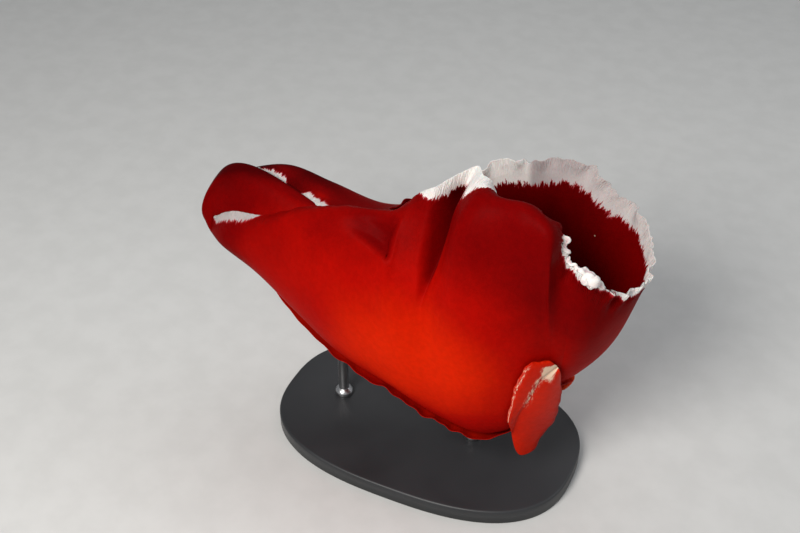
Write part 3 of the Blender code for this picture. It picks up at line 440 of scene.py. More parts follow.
def skin_grid():
    """The whole skin on one ring of ribs.

    Gives its outer and inner points, the distance of each from the free edge and the painted shade of
    the folds there, then for each rib its place along the rim and its two widths of white.
    """
    s, near, front, far = sides()
    side_u = np.concatenate([near, front, far[::-1]])
    tail_u = np.linspace(0, TAIL.end, TAIL_STEPS + 1)[1:-1]
    parts = []
    for lobe, u in ((SIDE, side_u), (TAIL, tail_u)):
        distance, length = rows(lobe, u)
        f = 1 - distance / length
        points, _ = surface(lobe, u, f)
        dent = hollow(lobe, u[:, None], f)
        _, valley = folds(lobe, u[:, None], f)
        # painted shade of the dent and the valley, taken off the red
        shade = HOLLOW_PAINTED_SHADE * dent + VALLEY_PAINTED_SHADE * valley
        lift = ripple(lobe, u[:, None], distance) + frill(lobe, u[:, None], distance) - HOLLOW * dent
        place = lobe.rib(u)[0]
        deepest = SIDE_DEPTH if lobe is SIDE else TAIL_DEPTH
        where, thick = np.array(THICKNESS, float).T
        sheet = np.interp(np.minimum(distance, deepest), where, thick)
        trunk = keel(place)
        share = (length - distance) / trunk[:, 5:6]
        thickness = trunk[:, 4:5] + (sheet - trunk[:, 4:5]) * smooth(share, *TRUNK_FADE)
        if lobe is SIDE:
            whites = band(lobe, OUTER_WHITE, u), band(lobe, INNER_WHITE, u)
            along = u
        else:
            whites = band(lobe, TAIL_WHITE, u), np.full(len(u), TAIL_INNER_WHITE)
            along = u + SIDE.end
        parts.append((points, distance, lift, thickness, share, place, shade, along) + whites)
    fields = [np.concatenate(column) for column in zip(*parts)]
    points, distance, lift, thickness, share, place, shade, along, outer_white, inner_white = fields
    across = np.roll(points, -1, axis=0) - np.roll(points, 1, axis=0)
    normal = np.cross(across, np.gradient(points, axis=1))
    normal = facing(normal, share, place)
    outer = points + normal * lift[:, :, None]
    inner = outer - normal * thickness[:, :, None]
    return outer, inner, distance, shade, along, outer_white, inner_white, len(s), len(front)


def link(obj):
    bpy.context.scene.collection.objects.link(obj)
    return obj


def to_mesh(name, points, faces, fields=None):
    """Mesh object from points in mm about the animal's origin; fields are named per-point values."""
    mesh = bpy.data.meshes.new(name)
    points = (np.asarray(points, float).reshape(-1, 3) + LIFT * UP) * MM
    mesh.from_pydata(points.tolist(), [], [list(f) for f in faces])
    for key, values in (fields or {}).items():
        layer = mesh.attributes.new(key, "FLOAT", "POINT")
        layer.data.foreach_set("value", np.asarray(values, np.float32).ravel())
    mesh.shade_smooth()
    obj = bpy.data.objects.new(name, mesh)
    return link(obj)


def grid_faces(index, wrap):
    """Quads over an index grid (n, m)."""
    if wrap:
        index = np.concatenate([index, index[:1]])
    a, b = index[:-1, :-1], index[1:, :-1]
    c, d = index[1:, 1:], index[:-1, 1:]
    return np.stack([a, b, c, d], -1).reshape(-1, 4)


def clean_faces(quads):
    """Turns quads that use a point twice into triangles and drops what has no area."""
    faces = []
    for quad in quads.tolist():
        ring = [v for i, v in enumerate(quad) if v != quad[i - 1]]
        if len(ring) >= 3:
            faces.append(ring)
    return faces


def make_skin():
    outer, inner, distance, shade, along, outer_white, inner_white, n_side, n_front = skin_grid()
    n, m = outer.shape[:2]
    index = np.arange(n * m).reshape(n, m)
    root = np.empty(n, int)
    root[:n_side] = index[:n_side, 0]
    root[n_side:n_side + n_front] = root[n_side - 1]
    root[n_side + n_front:2 * n_side + n_front] = root[:n_side][::-1]
    root[2 * n_side + n_front:] = root[0]
    index[:, 0] = root
    inner_index = index + n * m
    quads = np.concatenate([
        grid_faces(index, True),
        grid_faces(inner_index, True)[:, ::-1],
        grid_faces(np.stack([index[:, -1], inner_index[:, -1]], 1), True)])
    points = np.concatenate([outer.reshape(-1, 3), inner.reshape(-1, 3)])
    used = np.zeros(len(points), bool)
    used[quads.ravel()] = True
    number = np.cumsum(used) - 1
    edge = np.tile(distance.ravel(), 2)
    run = np.tile(np.repeat(along, m), 2)
    inside = np.repeat([0.0, 1.0], n * m)
    width = np.concatenate([np.repeat(outer_white, m), np.repeat(inner_white, m)])
    tone = np.concatenate([np.repeat(band(SIDE, table, along), m) for table in (OUTER_TONE, INNER_TONE)])
    # painted light and shade of the red: brighter where light falls, darker where shade falls
    painted_field = painted_light_and_shade(points, inside) + painted_lit_band(run, edge) * (1 - inside)
    # the painted shade of the folds darkens the outer face
    painted_field[:n * m] -= shade.ravel()
    fields = {"edge": edge[used], "along": run[used], "white": (width - edge)[used], "width": width[used],
              "tone": tone[used], "painted_light_and_shade": painted_field[used]}
    return to_mesh("skin", points[used], clean_faces(number[quads]), fields)


def painted_light_and_shade(points, inside):
    """Painted light and shade: how far the red leans to bright orange, most on the lit flanks of the belly,
    least in the shaded hollow.
    """
    x, y, z = points.T
    flank = np.exp(-((x - 10) / 56) ** 2 - ((z + 4) / 44) ** 2)
    low = smooth(-z, -45, 40)
    value = 0.15 + 0.85 * np.maximum(flank, 0.55 * low * smooth(x, -110, -40))
    value = value - 0.08 * smooth(x, 42, 74) - 0.16 * smooth(-x, 70, 100) - 0.12 * smooth(z, 20, 50)
    value = value - 0.4 * smooth(-z, 22, 52)
    value = value - 0.45 * smooth(z, 25, 38) * smooth(y, -6, 4) * smooth(-x, 10, 30)
    return value * (1 - inside) + inside * (0.35 * smooth(x, 35, 80) * smooth(-z, -60, -20) - 0.25)


def painted_lit_band(u, distance):
    """Painted light: bright orange brush strokes beside the white patches of the far lobe, where its red is
    lit.
    """
    place = bell(u - SIDE.at("far 5") + 2, 9.0) + 0.5 * bell(u - SIDE.at("far 6"), 7.0)
    return 0.6 * place * bell(distance - 6.5, 5.0)


class Graph:
    """Short ways to add shader nodes to a material."""

    def __init__(self, name):
        self.material = bpy.data.materials.new(name)
        self.material.use_nodes = True
        self.tree = self.material.node_tree
        self.shader = self.tree.nodes["Principled BSDF"]

    def add(self, kind, inputs=(), **settings):
        made = self.tree.nodes.new(kind)
        for key, value in settings.items():
            setattr(made, key, value)
        for key, value in dict(inputs).items():
            self.set(made.inputs[key], value)
        return made

    def set(self, socket, value):
        if isinstance(value, bpy.types.NodeSocket):
            self.tree.links.new(value, socket)
        else:
            socket.default_value = value

    def attribute(self, name):
        return self.add("ShaderNodeAttribute", attribute_name=name).outputs["Fac"]

    def math(self, operation, a, b):
        return self.add("ShaderNodeMath", {0: a, 1: b}, operation=operation).outputs[0]

    def times(self, a, b):
        return self.math("MULTIPLY", a, b)

    def range(self, value, low, high, to_low=0.0, to_high=1.0):
        inputs = {"Value": value, "From Min": low, "From Max": high, "To Min": to_low, "To Max": to_high}
        made = self.add("ShaderNodeMapRange", inputs, interpolation_type="SMOOTHSTEP")
        return made.outputs["Result"]

    def mix(self, factor, a, b, blend="MIX"):
        made = self.add("ShaderNodeMix", {"Factor": factor}, data_type="RGBA", blend_type=blend)
        self.set(made.inputs[6], a)
        self.set(made.inputs[7], b)
        return made.outputs[2]

    def noise(self, scale, vector=None, detail=3.0, rough=0.55):
        vector = self.coords() if vector is None else vector
        inputs = {"Scale": scale, "Detail": detail, "Roughness": rough, "Vector": vector}
        return self.add("ShaderNodeTexNoise", inputs).outputs["Fac"]

    def coords(self):
        return self.add("ShaderNodeTexCoord").outputs["Object"]

    def lanes(self, x, y):
        return self.add("ShaderNodeCombineXYZ", {0: x, 1: y, 2: 0.0}).outputs[0]

    def bump(self, height, strength, distance, below=None):
        inputs = {"Height": height, "Strength": strength, "Distance": distance}
        if below is not None:
            inputs["Normal"] = below
        return self.add("ShaderNodeBump", inputs).outputs["Normal"]

    def finish(self, **inputs):
        for key, value in inputs.items():
            self.set(self.shader.inputs[key.replace("_", " ")], value)
        return self.material

    def soft(self, colour, roughness, weight, radius, specular, normal):
        """Closes the material of some flesh, which lets a little light through."""
        return self.finish(Base_Color=colour, Roughness=roughness, Normal=normal, Subsurface_Weight=weight,
                           Subsurface_Radius=radius, Subsurface_Scale=1.0, Specular_IOR_Level=specular)


def tinted(colour, factor):
    return tuple(factor * channel for channel in colour[:3]) + (1,)


# painted shade: the darkest red, where the painted light and shade value falls below 0
SHADED_RED = (0.050, 0.0002, 0.0006, 1)
DEEP = (0.145, 0.0004, 0.0006, 1)
RED = (0.34, 0.0022, 0.0006, 1)
BRIGHT = (0.57, 0.0135, 0.0006, 1)
CREAM = (0.80, 0.58, 0.42, 1)
WHITE = (0.80, 0.76, 0.73, 1)
GREY_PINK = (0.16, 0.115, 0.12, 1)
PINK_GREY = (0.34, 0.22, 0.27, 1)
PINK = (0.58, 0.20, 0.28, 1)
PINK_RED = (0.52, 0.06, 0.055, 1)
BLUSH = (0.45, 0.035, 0.045, 1)
ORANGE = (0.72, 0.10, 0.02, 1)
GRAPHITE = (0.020, 0.021, 0.023, 1)
STEEL = (0.56, 0.56, 0.57, 1)


def flesh_colour(g, red_level):
    """Red of the skin: deep to orange by the value given, on the skin its painted light and shade, and by
    soft clouds.
    """
    clouds = g.noise(26.0, detail=2.0)
    grain = g.noise(420.0, detail=3.0)
    value = g.math("ADD", red_level, g.times(g.math("SUBTRACT", clouds, 0.5), 0.55))
    # values below 0 are painted shade and take the red down to its darkest
    dark = g.mix(g.range(value, -0.5, 0.0), SHADED_RED, DEEP)
    low = g.mix(g.range(value, 0.0, 0.5), dark, RED)
    colour = g.mix(g.range(value, 0.45, 1.0), low, BRIGHT)
    shade = g.range(grain, 0.3, 0.7, 0.93, 1.05)
    grey = g.add("ShaderNodeCombineColor", {0: shade, 1: shade, 2: shade}).outputs[0]
    return g.mix(1.0, colour, grey, "MULTIPLY")


def specks(g, scale, size):
    """Sparse round pale specks."""
    cells = g.add("ShaderNodeTexVoronoi", {"Scale": scale, "Vector": g.coords()})
    pick = g.add("ShaderNodeSeparateColor", {0: cells.outputs["Color"]}).outputs[0]
    near = g.range(cells.outputs["Distance"], size, 0.4 * size)
    return g.times(near, g.range(pick, 0.93, 0.95))


def skin_bump(g):
    fine = g.noise(950.0, detail=4.0)
    soft = g.noise(140.0, detail=2.0)
    return g.bump(fine, 0.25, 0.00035, g.bump(soft, 0.175, 0.0016))


def skin_material():
    g = Graph("skin flesh")
    edge, along = g.attribute("edge"), g.attribute("along")
    white, width, tone = g.attribute("white"), g.attribute("width"), g.attribute("tone")
    lanes = g.lanes(along, g.times(edge, 0.16))
    brush = g.noise(0.85, lanes, detail=3.5, rough=0.75)
    patches = g.noise(0.33, lanes, detail=1.0)
    reach = g.range(width, 0.0, 9.0, 0.25, 1.0)
    push = g.times(g.math("SUBTRACT", brush, 0.5), g.times(reach, 13.0))
    wide = g.times(g.math("SUBTRACT", patches, 0.5), g.times(reach, 4.0))
    value = g.math("ADD", g.math("ADD", white, push), wide)
    red = flesh_colour(g, g.attribute("painted_light_and_shade"))
    red = g.mix(g.times(specks(g, 95.0, 0.055), 0.55), red, CREAM)
    # the tone turns the white grey-pink, in part painted shade where less light falls
    light = g.mix(tone, GREY_PINK, WHITE)
    streaks = g.range(g.noise(3.4, g.lanes(along, g.times(edge, 0.22))), 0.35, 0.7)
    grey = g.range(tone, 0.3, 0.9, 0.75, 0.30)
    light = g.mix(g.times(streaks, grey), light, g.mix(0.45, light, PINK_GREY))
    veins = g.times(g.range(brush, 0.58, 0.70), g.range(white, 0.0, 5.0, 0.55, 0.0))
    pale = g.mix(veins, light, PINK)
    border = g.mix(g.times(g.range(value, -1.2, 0.1), 0.75), red, BLUSH)
    colour = g.mix(g.range(value, -0.25, 0.35), border, pale)
    pleats = g.noise(2.2, g.lanes(along, g.times(edge, 0.10)), detail=2.0)
    height = g.times(pleats, g.range(edge, 11.0, 1.0))
    normal = g.bump(height, 0.8, 0.0015, skin_bump(g))
    return g.soft(colour, 0.5, 0.15, (0.0035, 0.0006, 0.0004), 0.012, normal)


def flesh(name, red_level, cream=0.0, edge_dark=0.0, tip=None):
    """Flesh of the foot and the organs; cream is how much pale crust it carries."""
    g = Graph(name)
    colour = flesh_colour(g, red_level)
    if cream:
        crust = g.attribute("crust")
        lanes = g.lanes(g.times(g.attribute("fan"), 34.0), g.times(g.attribute("down"), 15.0))
        spots = g.range(g.noise(1.0, lanes, detail=4.0, rough=0.75), 0.66, 0.40)
        amount = g.range(g.math("SUBTRACT", crust, g.times(spots, 0.8)), -0.20, 0.25)
        amount = g.times(g.times(amount, cream), g.range(crust, 0.12, 0.4))
        colour = g.mix(g.times(g.range(crust, 0.15, 0.9), 0.55), colour, PINK_RED)
        colour = g.mix(amount, colour, CREAM)
    if edge_dark:
        colour = g.mix(g.times(g.attribute("rim"), edge_dark), colour, DEEP)
    if tip:
        colour = g.mix(g.attribute("tip"), colour, tip)
    return g.soft(colour, 0.48, 0.15, (0.003, 0.0006, 0.0004), 0.05, skin_bump(g))


def roll_material():
    g = Graph("rolled edge")
    height = g.math("ADD", g.attribute("lump"), g.math("SUBTRACT", g.noise(330.0), 0.5))
    # painted shade: the white roll turns pink in the hollows between its lumps
    colour = g.mix(g.times(g.range(height, 0.1, -0.45), 0.6), WHITE, PINK)
    return g.soft(colour, 0.5, 0.2, (0.002, 0.0012, 0.001), 0.1, skin_bump(g))


def metal(name, colour, roughness, brushed=False):
    g = Graph(name)
    if brushed:
        lanes = g.add("ShaderNodeMapping", {"Vector": g.coords(), "Scale": (900.0, 900.0, 25.0)}).outputs[0]
        grain = g.noise(1.0, lanes, detail=2.0)
        return g.finish(Base_Color=g.mix(grain, colour, tinted(colour, 0.75)),
                        Metallic=1.0, Roughness=g.range(grain, 0.2, 0.8, roughness, roughness + 0.16),
                        Normal=g.bump(grain, 0.12, 0.0001))
    grain, worn = g.noise(800.0), g.noise(22.0)
    return g.finish(Base_Color=g.mix(g.range(worn, 0.3, 0.7), colour, tinted(colour, 1.35)),
                    Roughness=g.range(worn, 0.3, 0.7, roughness, roughness + 0.1),
                    Normal=g.bump(grain, 0.10, 0.0002), Specular_IOR_Level=0.4)


def flank_points(u, rise, shares):
    """Outer points and outward normals of the near or far flank at u, at shares of the trunk."""
    length = rib_lengths(SIDE, u)
    trunk = keel(SIDE.rib(u)[0])
    f = trunk[:, 5:6] / length[:, None] * np.array(shares)[None]
    points, _ = surface(SIDE, u, f)
    across, along = np.gradient(points, axis=0), np.gradient(points, axis=1)
    normal = np.cross(across, along) * rise
    return points, facing(normal, np.array(shares)[None], SIDE.rib(u)[0])


def edge_line(u):
    """Free edge at u, the way its sheet faces and the way from the keel."""
    distance = np.tile([1.6, 0.8, 0.0], (len(u), 1))
    length = rib_lengths(SIDE, u)[:, None]
    points, _ = surface(SIDE, u, 1 - distance / length)
    up = points[:, 2] - points[:, 0]
    normal = np.cross(np.gradient(points[:, 2], axis=0), up)
    return points[:, 2], unit(normal), unit(up)


def tube_faces(rings, sides, first=0, caps=1):
    """Faces round a stack of closed rings and over both of its ends; first is its first point."""
    index = first + np.arange(rings * sides).reshape(rings, sides)
    loop = np.concatenate([index, index[:, :1]], axis=1)
    return (grid_faces(loop, False)[:, ::-1].tolist()
            + [index[0][::caps].tolist(), index[-1][::-caps].tolist()])


def sheet_faces(n, m):
    """Faces of a sheet of n by m points with the same grid under it, closed along its borders."""
    upper = np.arange(n * m).reshape(n, m)
    under = upper + n * m
    strips = [np.stack([under[:, 0], upper[:, 0]], 1), np.stack([upper[:, -1], under[:, -1]], 1),
              np.stack([under[0], upper[0]], 1)[::-1], np.stack([under[-1], upper[-1]], 1)]
    return np.concatenate([grid_faces(upper, False), grid_faces(under, False)[:, ::-1]]
                          + [grid_faces(strip, False) for strip in strips])


def make_roll():
    """The crumpled, rolled white edge of the near rim."""
    where, radius = zip(*[(SIDE.at(name) + shift, size) for name, shift, size in ROLL])
    u = np.linspace(where[0], where[-1], ROLL_STEPS + 1)
    edge, normal, up = edge_line(u)
    size = hermite(where, radius, u)
    sway, hop = waves(u, ROLL_SWAY), waves(u, ROLL_HOP)
    path = edge - normal * (0.8 * size * sway)[:, None] - up * (0.35 * size * (1.0 + hop))[:, None]
    rings = tube_points(path, size, ROLL_SIDES)
    turn = 2 * math.pi * np.arange(ROLL_SIDES) / ROLL_SIDES
    lumps = sum(height * np.sin(count * turn[None] + twist * u[:, None] + phase)
                for height, count, twist, phase in ROLL_LUMPS)
    points = path[:, None] + (rings - path[:, None]) * (1 + lumps)[:, :, None]
    return to_mesh("rolled_edge", points, tube_faces(len(points), ROLL_SIDES), {"lump": lumps.ravel()})


def make_sole():
    """Sole of the foot with its thin wavy border along both flanks."""
    s = np.linspace(FOOT_RUN[0], FOOT_RUN[1], SOLE_STEPS + 1)
    shares = FOOT_REACH * np.linspace(0, 1, SOLE_ROWS + 1)
    share, clear, thick = np.array(FOOT_ROWS).T
    near, far = two_sides(s)
    ends = smooth(s, FOOT_RUN[0], FOOT_RUN[0] + 0.12) * (1 - smooth(s, FOOT_RUN[1] - 0.1, FOOT_RUN[1]))
    sides = []
    for number, (u, rise) in enumerate(((near, 1.0), (far, -1.0))):
        points, normal = flank_points(u, rise, shares)
        wave = 0.6 * np.sin(u / 2.9 + 0.4) + 0.5 * np.sin(u / 1.7) + 0.5 * np.sin(u / 5.1 + 2.0 + number)
        flare = ((0.6 + 0.7 * wave) * smooth(s, 0.12, 0.45))[:, None]
        flare = smooth(shares, 0.40, FOOT_REACH)[None] * flare
        gap = 0.2 + (np.interp(shares, share, clear)[None] - 0.2 + flare) * ends[:, None]
        body = np.interp(shares, share, thick)[None] * (0.25 + 0.75 * ends * smooth(s, 0.0, 0.5))[:, None]
        rim = np.sqrt(np.clip(1 - (shares / FOOT_REACH) ** 8, 0.02, 1))[None]
        upper = points + normal * gap[:, :, None]
        sides.append((upper, upper + normal * (body * rim)[:, :, None]))
    points = np.concatenate([np.concatenate([sides[0][k][:, ::-1], sides[1][k][:, 1:]], axis=1)
                             for k in (0, 1)])
    n, m = points.shape[0] // 2, points.shape[1]
    place = np.abs(np.arange(m) - (m - 1) / 2) / ((m - 1) / 2)
    rim = np.tile(smooth(place, 0.8, 1.0), 2 * n)
    return to_mesh("sole", points, clean_faces(sheet_faces(n, m)), {"rim": rim})


def make_lobes():
    """The foot's front end: two crowned lobes with a groove between, hanging off the head."""
    t = np.linspace(0, 1, LOBE_STEPS + 1)
    w = np.linspace(0, 2, 2 * LOBE_ROWS + 1)
    part = np.where(w <= 1, w, w - 1)
    ending = np.where(w <= 1, 0.83 + 0.05 * part, 1 - 0.12 * (2 * part - 1) ** 2)
    run = t[:, None] * ending[None]
    knots = np.linspace(0, 1, len(FOOT_OUTER))
    outer, groove, inner = (hermite(knots, side, run.ravel()).reshape(run.shape + (3,))
                            for side in (FOOT_OUTER, FOOT_GROOVE, FOOT_INNER))
    first = (w <= 1.0)[None, :, None]
    start = np.where(first, outer, groove)
    way = np.where(first, groove, inner) - start
    middle = start + way * part[None, :, None]
    way = unit(way)
    near_crown = 2.0 * np.sin(math.pi * part ** 0.8) + 1.5 * part ** 3
    near_crown = near_crown * (1 - smooth(w, 0.93, 1.07))
    far_crown = 2.9 * np.sin(math.pi * part) - 0.4 * (1 - smooth(part, 0, 0.2))
    crown = np.where(w <= 1, near_crown, far_crown)
    border = (bell(w, 0.22) - bell(2 - w, 0.22))[None]
    wave = 0.5 * np.sin(2 * math.pi * (2.6 * t + 0.1)) + 0.3 * np.sin(2 * math.pi * (6.7 * t + 0.4))
    middle = middle + way * (border * wave[:, None])[:, :, None]
    pleat = 0.14 * np.sin(2 * math.pi * (8 * t + 0.3)) + 0.12 * np.sin(2 * math.pi * (15 * t))
    lift = crown[None] + pleat[:, None] * np.abs(border)
    upper = middle + FOOT_OUT * lift[:, :, None]
    lower = upper - FOOT_OUT * (0.45 + 1.9 * bell(w - 1, 0.55))[None, :, None]
    points = np.concatenate([upper, lower])
    n, m = upper.shape[:2]
    near_border = bell(w - 0.12, 0.12)[None] * smooth(t, 0.1, 0.4)[:, None]
    in_groove = bell(w - 0.98, 0.16)[None] * (1 - smooth(t, 0.5, 0.85))[:, None]
    wedge = np.exp(-((w - 0.95)[None] / (0.25 + 1.3 * t[:, None])) ** 4)
    wedge = wedge * (1 - smooth(t, 0.12, 0.24))[:, None]
    crust = np.clip(0.42 * near_border + 0.5 * in_groove + 1.2 * wedge, 0, 1.2)
    fields = {"crust": np.tile(crust.ravel(), 2), "rim": np.tile(bell(2 - w, 0.08), 2 * n),
              "fan": np.tile(w / 2, 2 * n), "down": np.tile(np.repeat(t, m), 2)}
    return to_mesh("foot_lobes", points, clean_faces(sheet_faces(n, m)[:, ::-1]), fields)


def square_to(way):
    """Some direction square to a way."""
    return unit(np.cross(way, UP if abs(way[2]) < 0.9 else np.array([1.0, 0.0, 0.0])))


def tube_points(path, radii, sides):
    """Rings of points round a path in mm."""
    way = unit(np.gradient(np.asarray(path, float), axis=0))
    side = square_to(way[0])
    rings = []
    turn = 2 * math.pi * np.arange(sides) / sides
    for centre, step, radius in zip(path, way, radii):
        side = unit(side - step * side.dot(step))
        other = np.cross(step, side)
        rings.append(centre + radius * (np.outer(np.cos(turn), side) + np.outer(np.sin(turn), other)))
    return np.array(rings)


class Shape:
    """Collects closed tubes and grids into one mesh."""

    def __init__(self):
        self.points, self.faces, self.tips = [], [], []
        self.count = 0

    def tube(self, rings, tip):
        """Takes in a closed stack of rings; the field tip grows along it from 0 to tip."""
        n, sides = rings.shape[:2]
        self.faces += tube_faces(n, sides, self.count)
        self.points.append(rings.reshape(-1, 3))
        self.tips.append(np.repeat(np.linspace(0, tip, n), sides))
        self.count += n * sides

    def turned(self, foot, axis, profile, sides, ruffle=0.0, lobes=9, tip=0.0):
        """Turned solid; profile is (radius, height), ruffle waves its rings."""
        axis = unit(axis)
        side = square_to(axis)
        other = np.cross(axis, side)
        turn = 2 * math.pi * np.arange(sides) / sides
        wave = 1 + ruffle * np.sin(lobes * turn) + 0.5 * ruffle * np.sin((lobes + 4) * turn + 1)
        ring = np.outer(np.cos(turn) * wave, side) + np.outer(np.sin(turn) * wave, other)
        self.tube(np.array([foot + radius * ring + height * axis for radius, height in profile]), tip)

    def mesh(self, name):
        return to_mesh(name, np.concatenate(self.points), self.faces, {"tip": np.concatenate(self.tips)})


def search_tree(*objects):
    """Search tree over some objects, in mm about the animal's own origin."""
    points, faces = [], []
    for obj in objects:
        start = len(points)
        points += [v.co / MM - LIFT * Vector(UP) for v in obj.data.vertices]
        faces += [[start + i for i in p.vertices] for p in obj.data.polygons]
    return BVHTree.FromPolygons(points, faces)


def node_middle(name):
    """Middle of a CAD node's box in mm about the animal's own origin."""
    low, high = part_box(name)
    return np.array((Vector(low) + Vector(high)) / 2 / MM) - LIFT * UP


def make_rhinophore(name):
    """Club with thin leaves round a stalk, out of a low wavy collar."""
    tree = search_tree(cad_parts["head"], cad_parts["body"])
    middle = node_middle(name)
    foot, way, _, _ = tree.find_nearest(Vector(middle - 4 * UP))
    foot, way = np.array(foot), np.array(way) + 0.15 * UP
    shape = Shape()
    shape.turned(foot, way, COLLAR, 72, ruffle=0.035, lobes=11)
    profile = list(STALK)
    step = (RHINOPHORE_HEIGHT - 5.0) / LEAVES
    for k in range(LEAVES):
        height = LEAF_FOOT + (RHINOPHORE_HEIGHT - 5.0) * k / LEAVES
        width = LEAF_WIDTH * math.sin(math.pi * (0.42 + 0.5 * k / LEAVES))
        profile += [(0.62 * width, height), (width, height + 0.30 * step), (width, height + 0.55 * step)]
    profile += [(0.8, RHINOPHORE_HEIGHT - 0.6), (0.5, RHINOPHORE_HEIGHT), (0.15, RHINOPHORE_HEIGHT + 0.15)]
    shape.turned(foot, way, profile, 40, tip=1.0)
    return shape.mesh(name + "_club")


def make_gill(number):
    """Plume of the gill: a bent stem with rows of branches that carry finer ones."""
    rng = np.random.default_rng(40 + number)
    name = "gill_%d" % (number + 1)
    turn = 2 * math.pi * (number + 0.5) / GILLS
    away = np.array([math.cos(turn), math.sin(turn), 0.0])
    across = np.cross(away, UP)
    centre = keel(np.array([GILL_S]))[0][:3]
    tree = search_tree(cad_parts["body"])
    above = Vector(centre + GILL_RING * away + 40 * UP)
    foot = np.array(tree.ray_cast(above, Vector(-UP))[0]) - GILL_ROOT * UP
    height = GILL_HEIGHT * (1 + 0.08 * math.sin(2.3 * number)) + GILL_ROOT
    up = np.linspace(0, 1, 22)[:, None]
    stem = foot + UP * height * up + away * (1.0 + 5.5 * up ** 2)
    shape = Shape()
    shape.tube(tube_points(stem, 1.7 - 1.45 * up[:, 0] ** 0.8, 12), 0.6)
    for k in range(PINNAE):
        where = 0.16 + 0.78 * k / (PINNAE - 1)
        root = np.array([np.interp(where, up[:, 0], stem[:, a]) for a in range(3)])
        reach = 6.4 * math.sin(math.pi * (0.25 + 0.6 * k / (PINNAE - 1))) + 0.8
        way = across * (0.86 if k % 2 else -0.86) + 0.4 * UP + away * (0.5 if k % 4 < 2 else -0.2)
        way = way + rng.normal(0, 0.12, 3)
        part = np.linspace(0, 1, 8)[:, None]
        branch = root + way * reach * part + UP * (0.9 * reach * 0.4 * (part ** 2 - part * 0.6))
        shape.tube(tube_points(branch, 0.55 - 0.40 * part[:, 0], 7), 0.9)
        for j in range(PINNULES):
            place = 0.25 + 0.7 * j / (PINNULES - 1)
            start = np.array([np.interp(place, part[:, 0], branch[:, a]) for a in range(3)])
            turned = np.cross(way, UP) * (0.9 if j % 2 else -0.9) + 0.5 * way + 0.35 * UP
            length = (1.9 - 1.1 * place) * (0.8 + 0.4 * rng.random())
            twig = start + turned * length * np.linspace(0, 1, 4)[:, None]
            shape.tube(tube_points(twig, (0.26, 0.22, 0.17, 0.07), 5), 1.0)
    return shape.mesh(name + "_plume")


def make_mouth(tree):
    """Ring of folded lips round a narrow slit."""
    foot, way, _, _ = tree.find_nearest(Vector(node_middle("mouth")))
    shape = Shape()
    shape.turned(np.array(foot), np.array(way), LIPS, 120, ruffle=0.05, lobes=17, tip=1.0)
    return shape.mesh("lips")


def make_tentacle(name, tree):
    """Soft folded flap beside the mouth, in the place of its solid, pressed to the skin."""
    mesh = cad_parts[name].data
    points = np.array([v.co for v in mesh.vertices]) / MM - LIFT * UP
    middle = points.mean(axis=0)
    foot, way, _, _ = tree.find_nearest(Vector(middle))
    points = np.array(foot) + FLAP_SIZE * (points - middle) + FLAP_LIFT * np.array(way)
    obj = to_mesh(name + "_flap", points, [list(p.vertices) for p in mesh.polygons])
    smoother = obj.modifiers.new("rounding", "SUBSURF")
    smoother.levels = smoother.render_levels = 2
    return obj


def make_base():
    """Flat rounded base with a soft edge and a thin inset step underneath."""
    turn = 2 * math.pi * np.arange(BASE_SIDES) / BASE_SIDES
    power = 2 / BASE_SQUARENESS
    x, y = (np.sign(v) * np.abs(v) ** power for v in (np.cos(turn), np.sin(turn)))
    levels = [(1.0, 0.0), (0.4, 0.0), (0.4, 0.9), (0.0, 1.0)]
    for step in np.linspace(0, math.pi / 2, 7):
        levels.append((BASE_BEVEL * (1 - math.cos(step)), BASE_HEIGHT - BASE_BEVEL * (1 - math.sin(step))))
    levels += [(3.0, BASE_HEIGHT), (20.0, BASE_HEIGHT)]
    rings = [np.stack([x * (BASE_LENGTH / 2 - inset), y * (BASE_WIDTH / 2 - inset), 0 * x + z - LIFT], -1)
             for inset, z in levels]
    return to_mesh("display_base", rings, tube_faces(len(rings), BASE_SIDES, caps=-1))


def make_rod(number):
    """Brushed rod on its ferrule, up into the sole."""
    _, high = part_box("stand_rod_%d" % (number + 1))
    x = ROD_PLACES[number]
    top = high[2] / MM - LIFT + ROD_SINK
    start = BASE_HEIGHT - LIFT + 0.02
    profile = FERRULE + [(ROD_RADIUS + 0.05, 4.1), (ROD_RADIUS, 4.3), (ROD_RADIUS, top - start)]
    shape = Shape()
    shape.turned(np.array([x, 0.0, start]), UP, profile, 64)
    return shape.mesh("rod_%d" % (number + 1))


def put(obj, material, *nodes, slot=None):
    """Gives a piece its material and its place in the frame."""
    obj.data.materials.append(material)
    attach(obj, "root")
    if nodes:
        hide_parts(*nodes)
    return obj


AZIMUTH, ELEVATION = math.radians(25.0), math.radians(38.0)
VIEW_DISTANCE, LENS, SENSOR = 500.0, 50.0, 36.0
AIM_RIGHT, AIM_UP = -13.5, 15.0     # from the animal's origin to the middle of the picture


def make_camera():
    back = Vector((math.sin(AZIMUTH) * math.cos(ELEVATION), -math.cos(AZIMUTH) * math.cos(ELEVATION),
                   math.sin(ELEVATION)))
    right = Vector((math.cos(AZIMUTH), math.sin(AZIMUTH), 0.0))
    up = back.cross(right)
    place = (right * AIM_RIGHT + up * AIM_UP + back * VIEW_DISTANCE + Vector(UP) * LIFT) * MM
    data = bpy.data.cameras.new("camera")
    data.lens, data.sensor_width, data.clip_start = LENS, SENSOR, 0.01
    camera = bpy.data.objects.new("camera", data)
    axes = Matrix((right, up, back)).transposed().to_4x4()
    camera.matrix_world = Matrix.Translation(place) @ axes
    bpy.context.scene.camera = link(camera)
    return right, up, back


def make_light(name, place, target, size, power, colour):
    data = bpy.data.lights.new(name, "AREA")
    data.shape = "DISK"
    data.size, data.energy, data.color = size, power, colour
    light = bpy.data.objects.new(name, data)
    light.location = place
    light.rotation_euler = (Vector(place) - Vector(target)).to_track_quat("Z", "Y").to_euler()
    link(light)


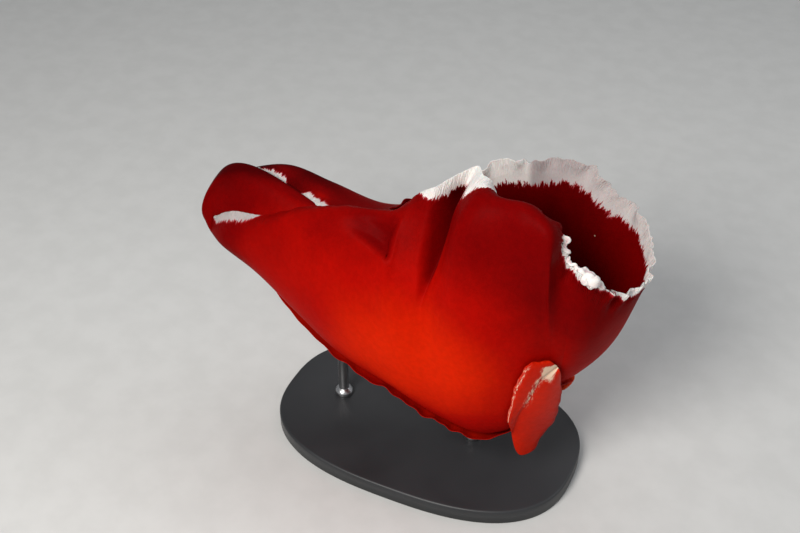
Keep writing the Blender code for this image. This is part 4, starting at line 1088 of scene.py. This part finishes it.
def make_stage():
    bpy.context.scene.view_settings.view_transform = "Standard"
    right, up, back = make_camera()
    middle = Vector((0.0, 0.0, LIFT * MM))
    key = middle + (back * 0.66 - right * 0.30 + up * 0.12)
    fill = middle + (back * 0.30 + right * 0.75 + up * 0.45)
    make_light("key", key, middle, 0.34, 5.8, (1.0, 0.97, 0.93))
    make_light("fill", fill, middle, 0.6, 1.6, (0.94, 0.97, 1.0))
    make_light("top", (-0.1, 0.3, 0.75), middle, 0.5, 0.8, (1.0, 1.0, 1.0))
    world = bpy.data.worlds.new("studio")
    world.use_nodes = True
    sky = world.node_tree.nodes["Background"].inputs
    sky["Color"].default_value = (0.80, 0.83, 0.86, 1)
    sky["Strength"].default_value = 0.34
    bpy.context.scene.world = world
    mesh = bpy.data.meshes.new("floor")
    far = 4.0
    mesh.from_pydata([(-far, -far, 0), (far, -far, 0), (far, far, 0), (-far, far, 0)], [], [(0, 1, 2, 3)])
    floor = bpy.data.objects.new("floor", mesh)
    g = Graph("floor")
    grain = g.noise(60.0, detail=3.0)
    tone = g.mix(g.range(grain, 0.3, 0.7), (0.56, 0.56, 0.55, 1), (0.59, 0.59, 0.58, 1))
    mesh.materials.append(g.finish(Base_Color=tone, Roughness=0.8))
    link(floor)


FLESH_NODES = ["head", "body", "tail"]
for part_name in ("right_rear", "right_front", "front", "left_front", "left_rear", "tail"):
    FLESH_NODES += ["mantle_" + part_name, "margin_" + part_name]

make_stage()
whole_skin = make_skin()
put(whole_skin, skin_material(), *FLESH_NODES, slot="skin")
whole_tree = search_tree(whole_skin)
put(make_roll(), roll_material())
put(make_sole(), flesh("sole flesh", 0.62, edge_dark=0.25), "foot", slot="foot")
put(make_lobes(), flesh("lobe flesh", 0.84, cream=0.95, edge_dark=0.6), "foot_front", slot="foot")
organ = flesh("organ flesh", 0.75, tip=ORANGE)
put(make_mouth(whole_tree), organ, "mouth", slot="skin")
for side_name in ("right", "left"):
    put(make_tentacle("oral_tentacle_" + side_name, whole_tree), flesh("tentacle flesh", 0.4),
        "oral_tentacle_" + side_name, slot="skin")
    put(make_rhinophore("rhinophore_" + side_name), organ, "rhinophore_" + side_name, slot="rhinophore")
for gill_number in range(GILLS):
    put(make_gill(gill_number), organ, "gill_%d" % (gill_number + 1), slot="gill")
put(make_base(), metal("base paint", GRAPHITE, 0.38), "stand_base", slot="stand_base")
rod_steel = metal("rod steel", STEEL, 0.24, brushed=True)
for rod_number in range(2):
    put(make_rod(rod_number), rod_steel, "stand_rod_%d" % (rod_number + 1), slot="stand_rod")
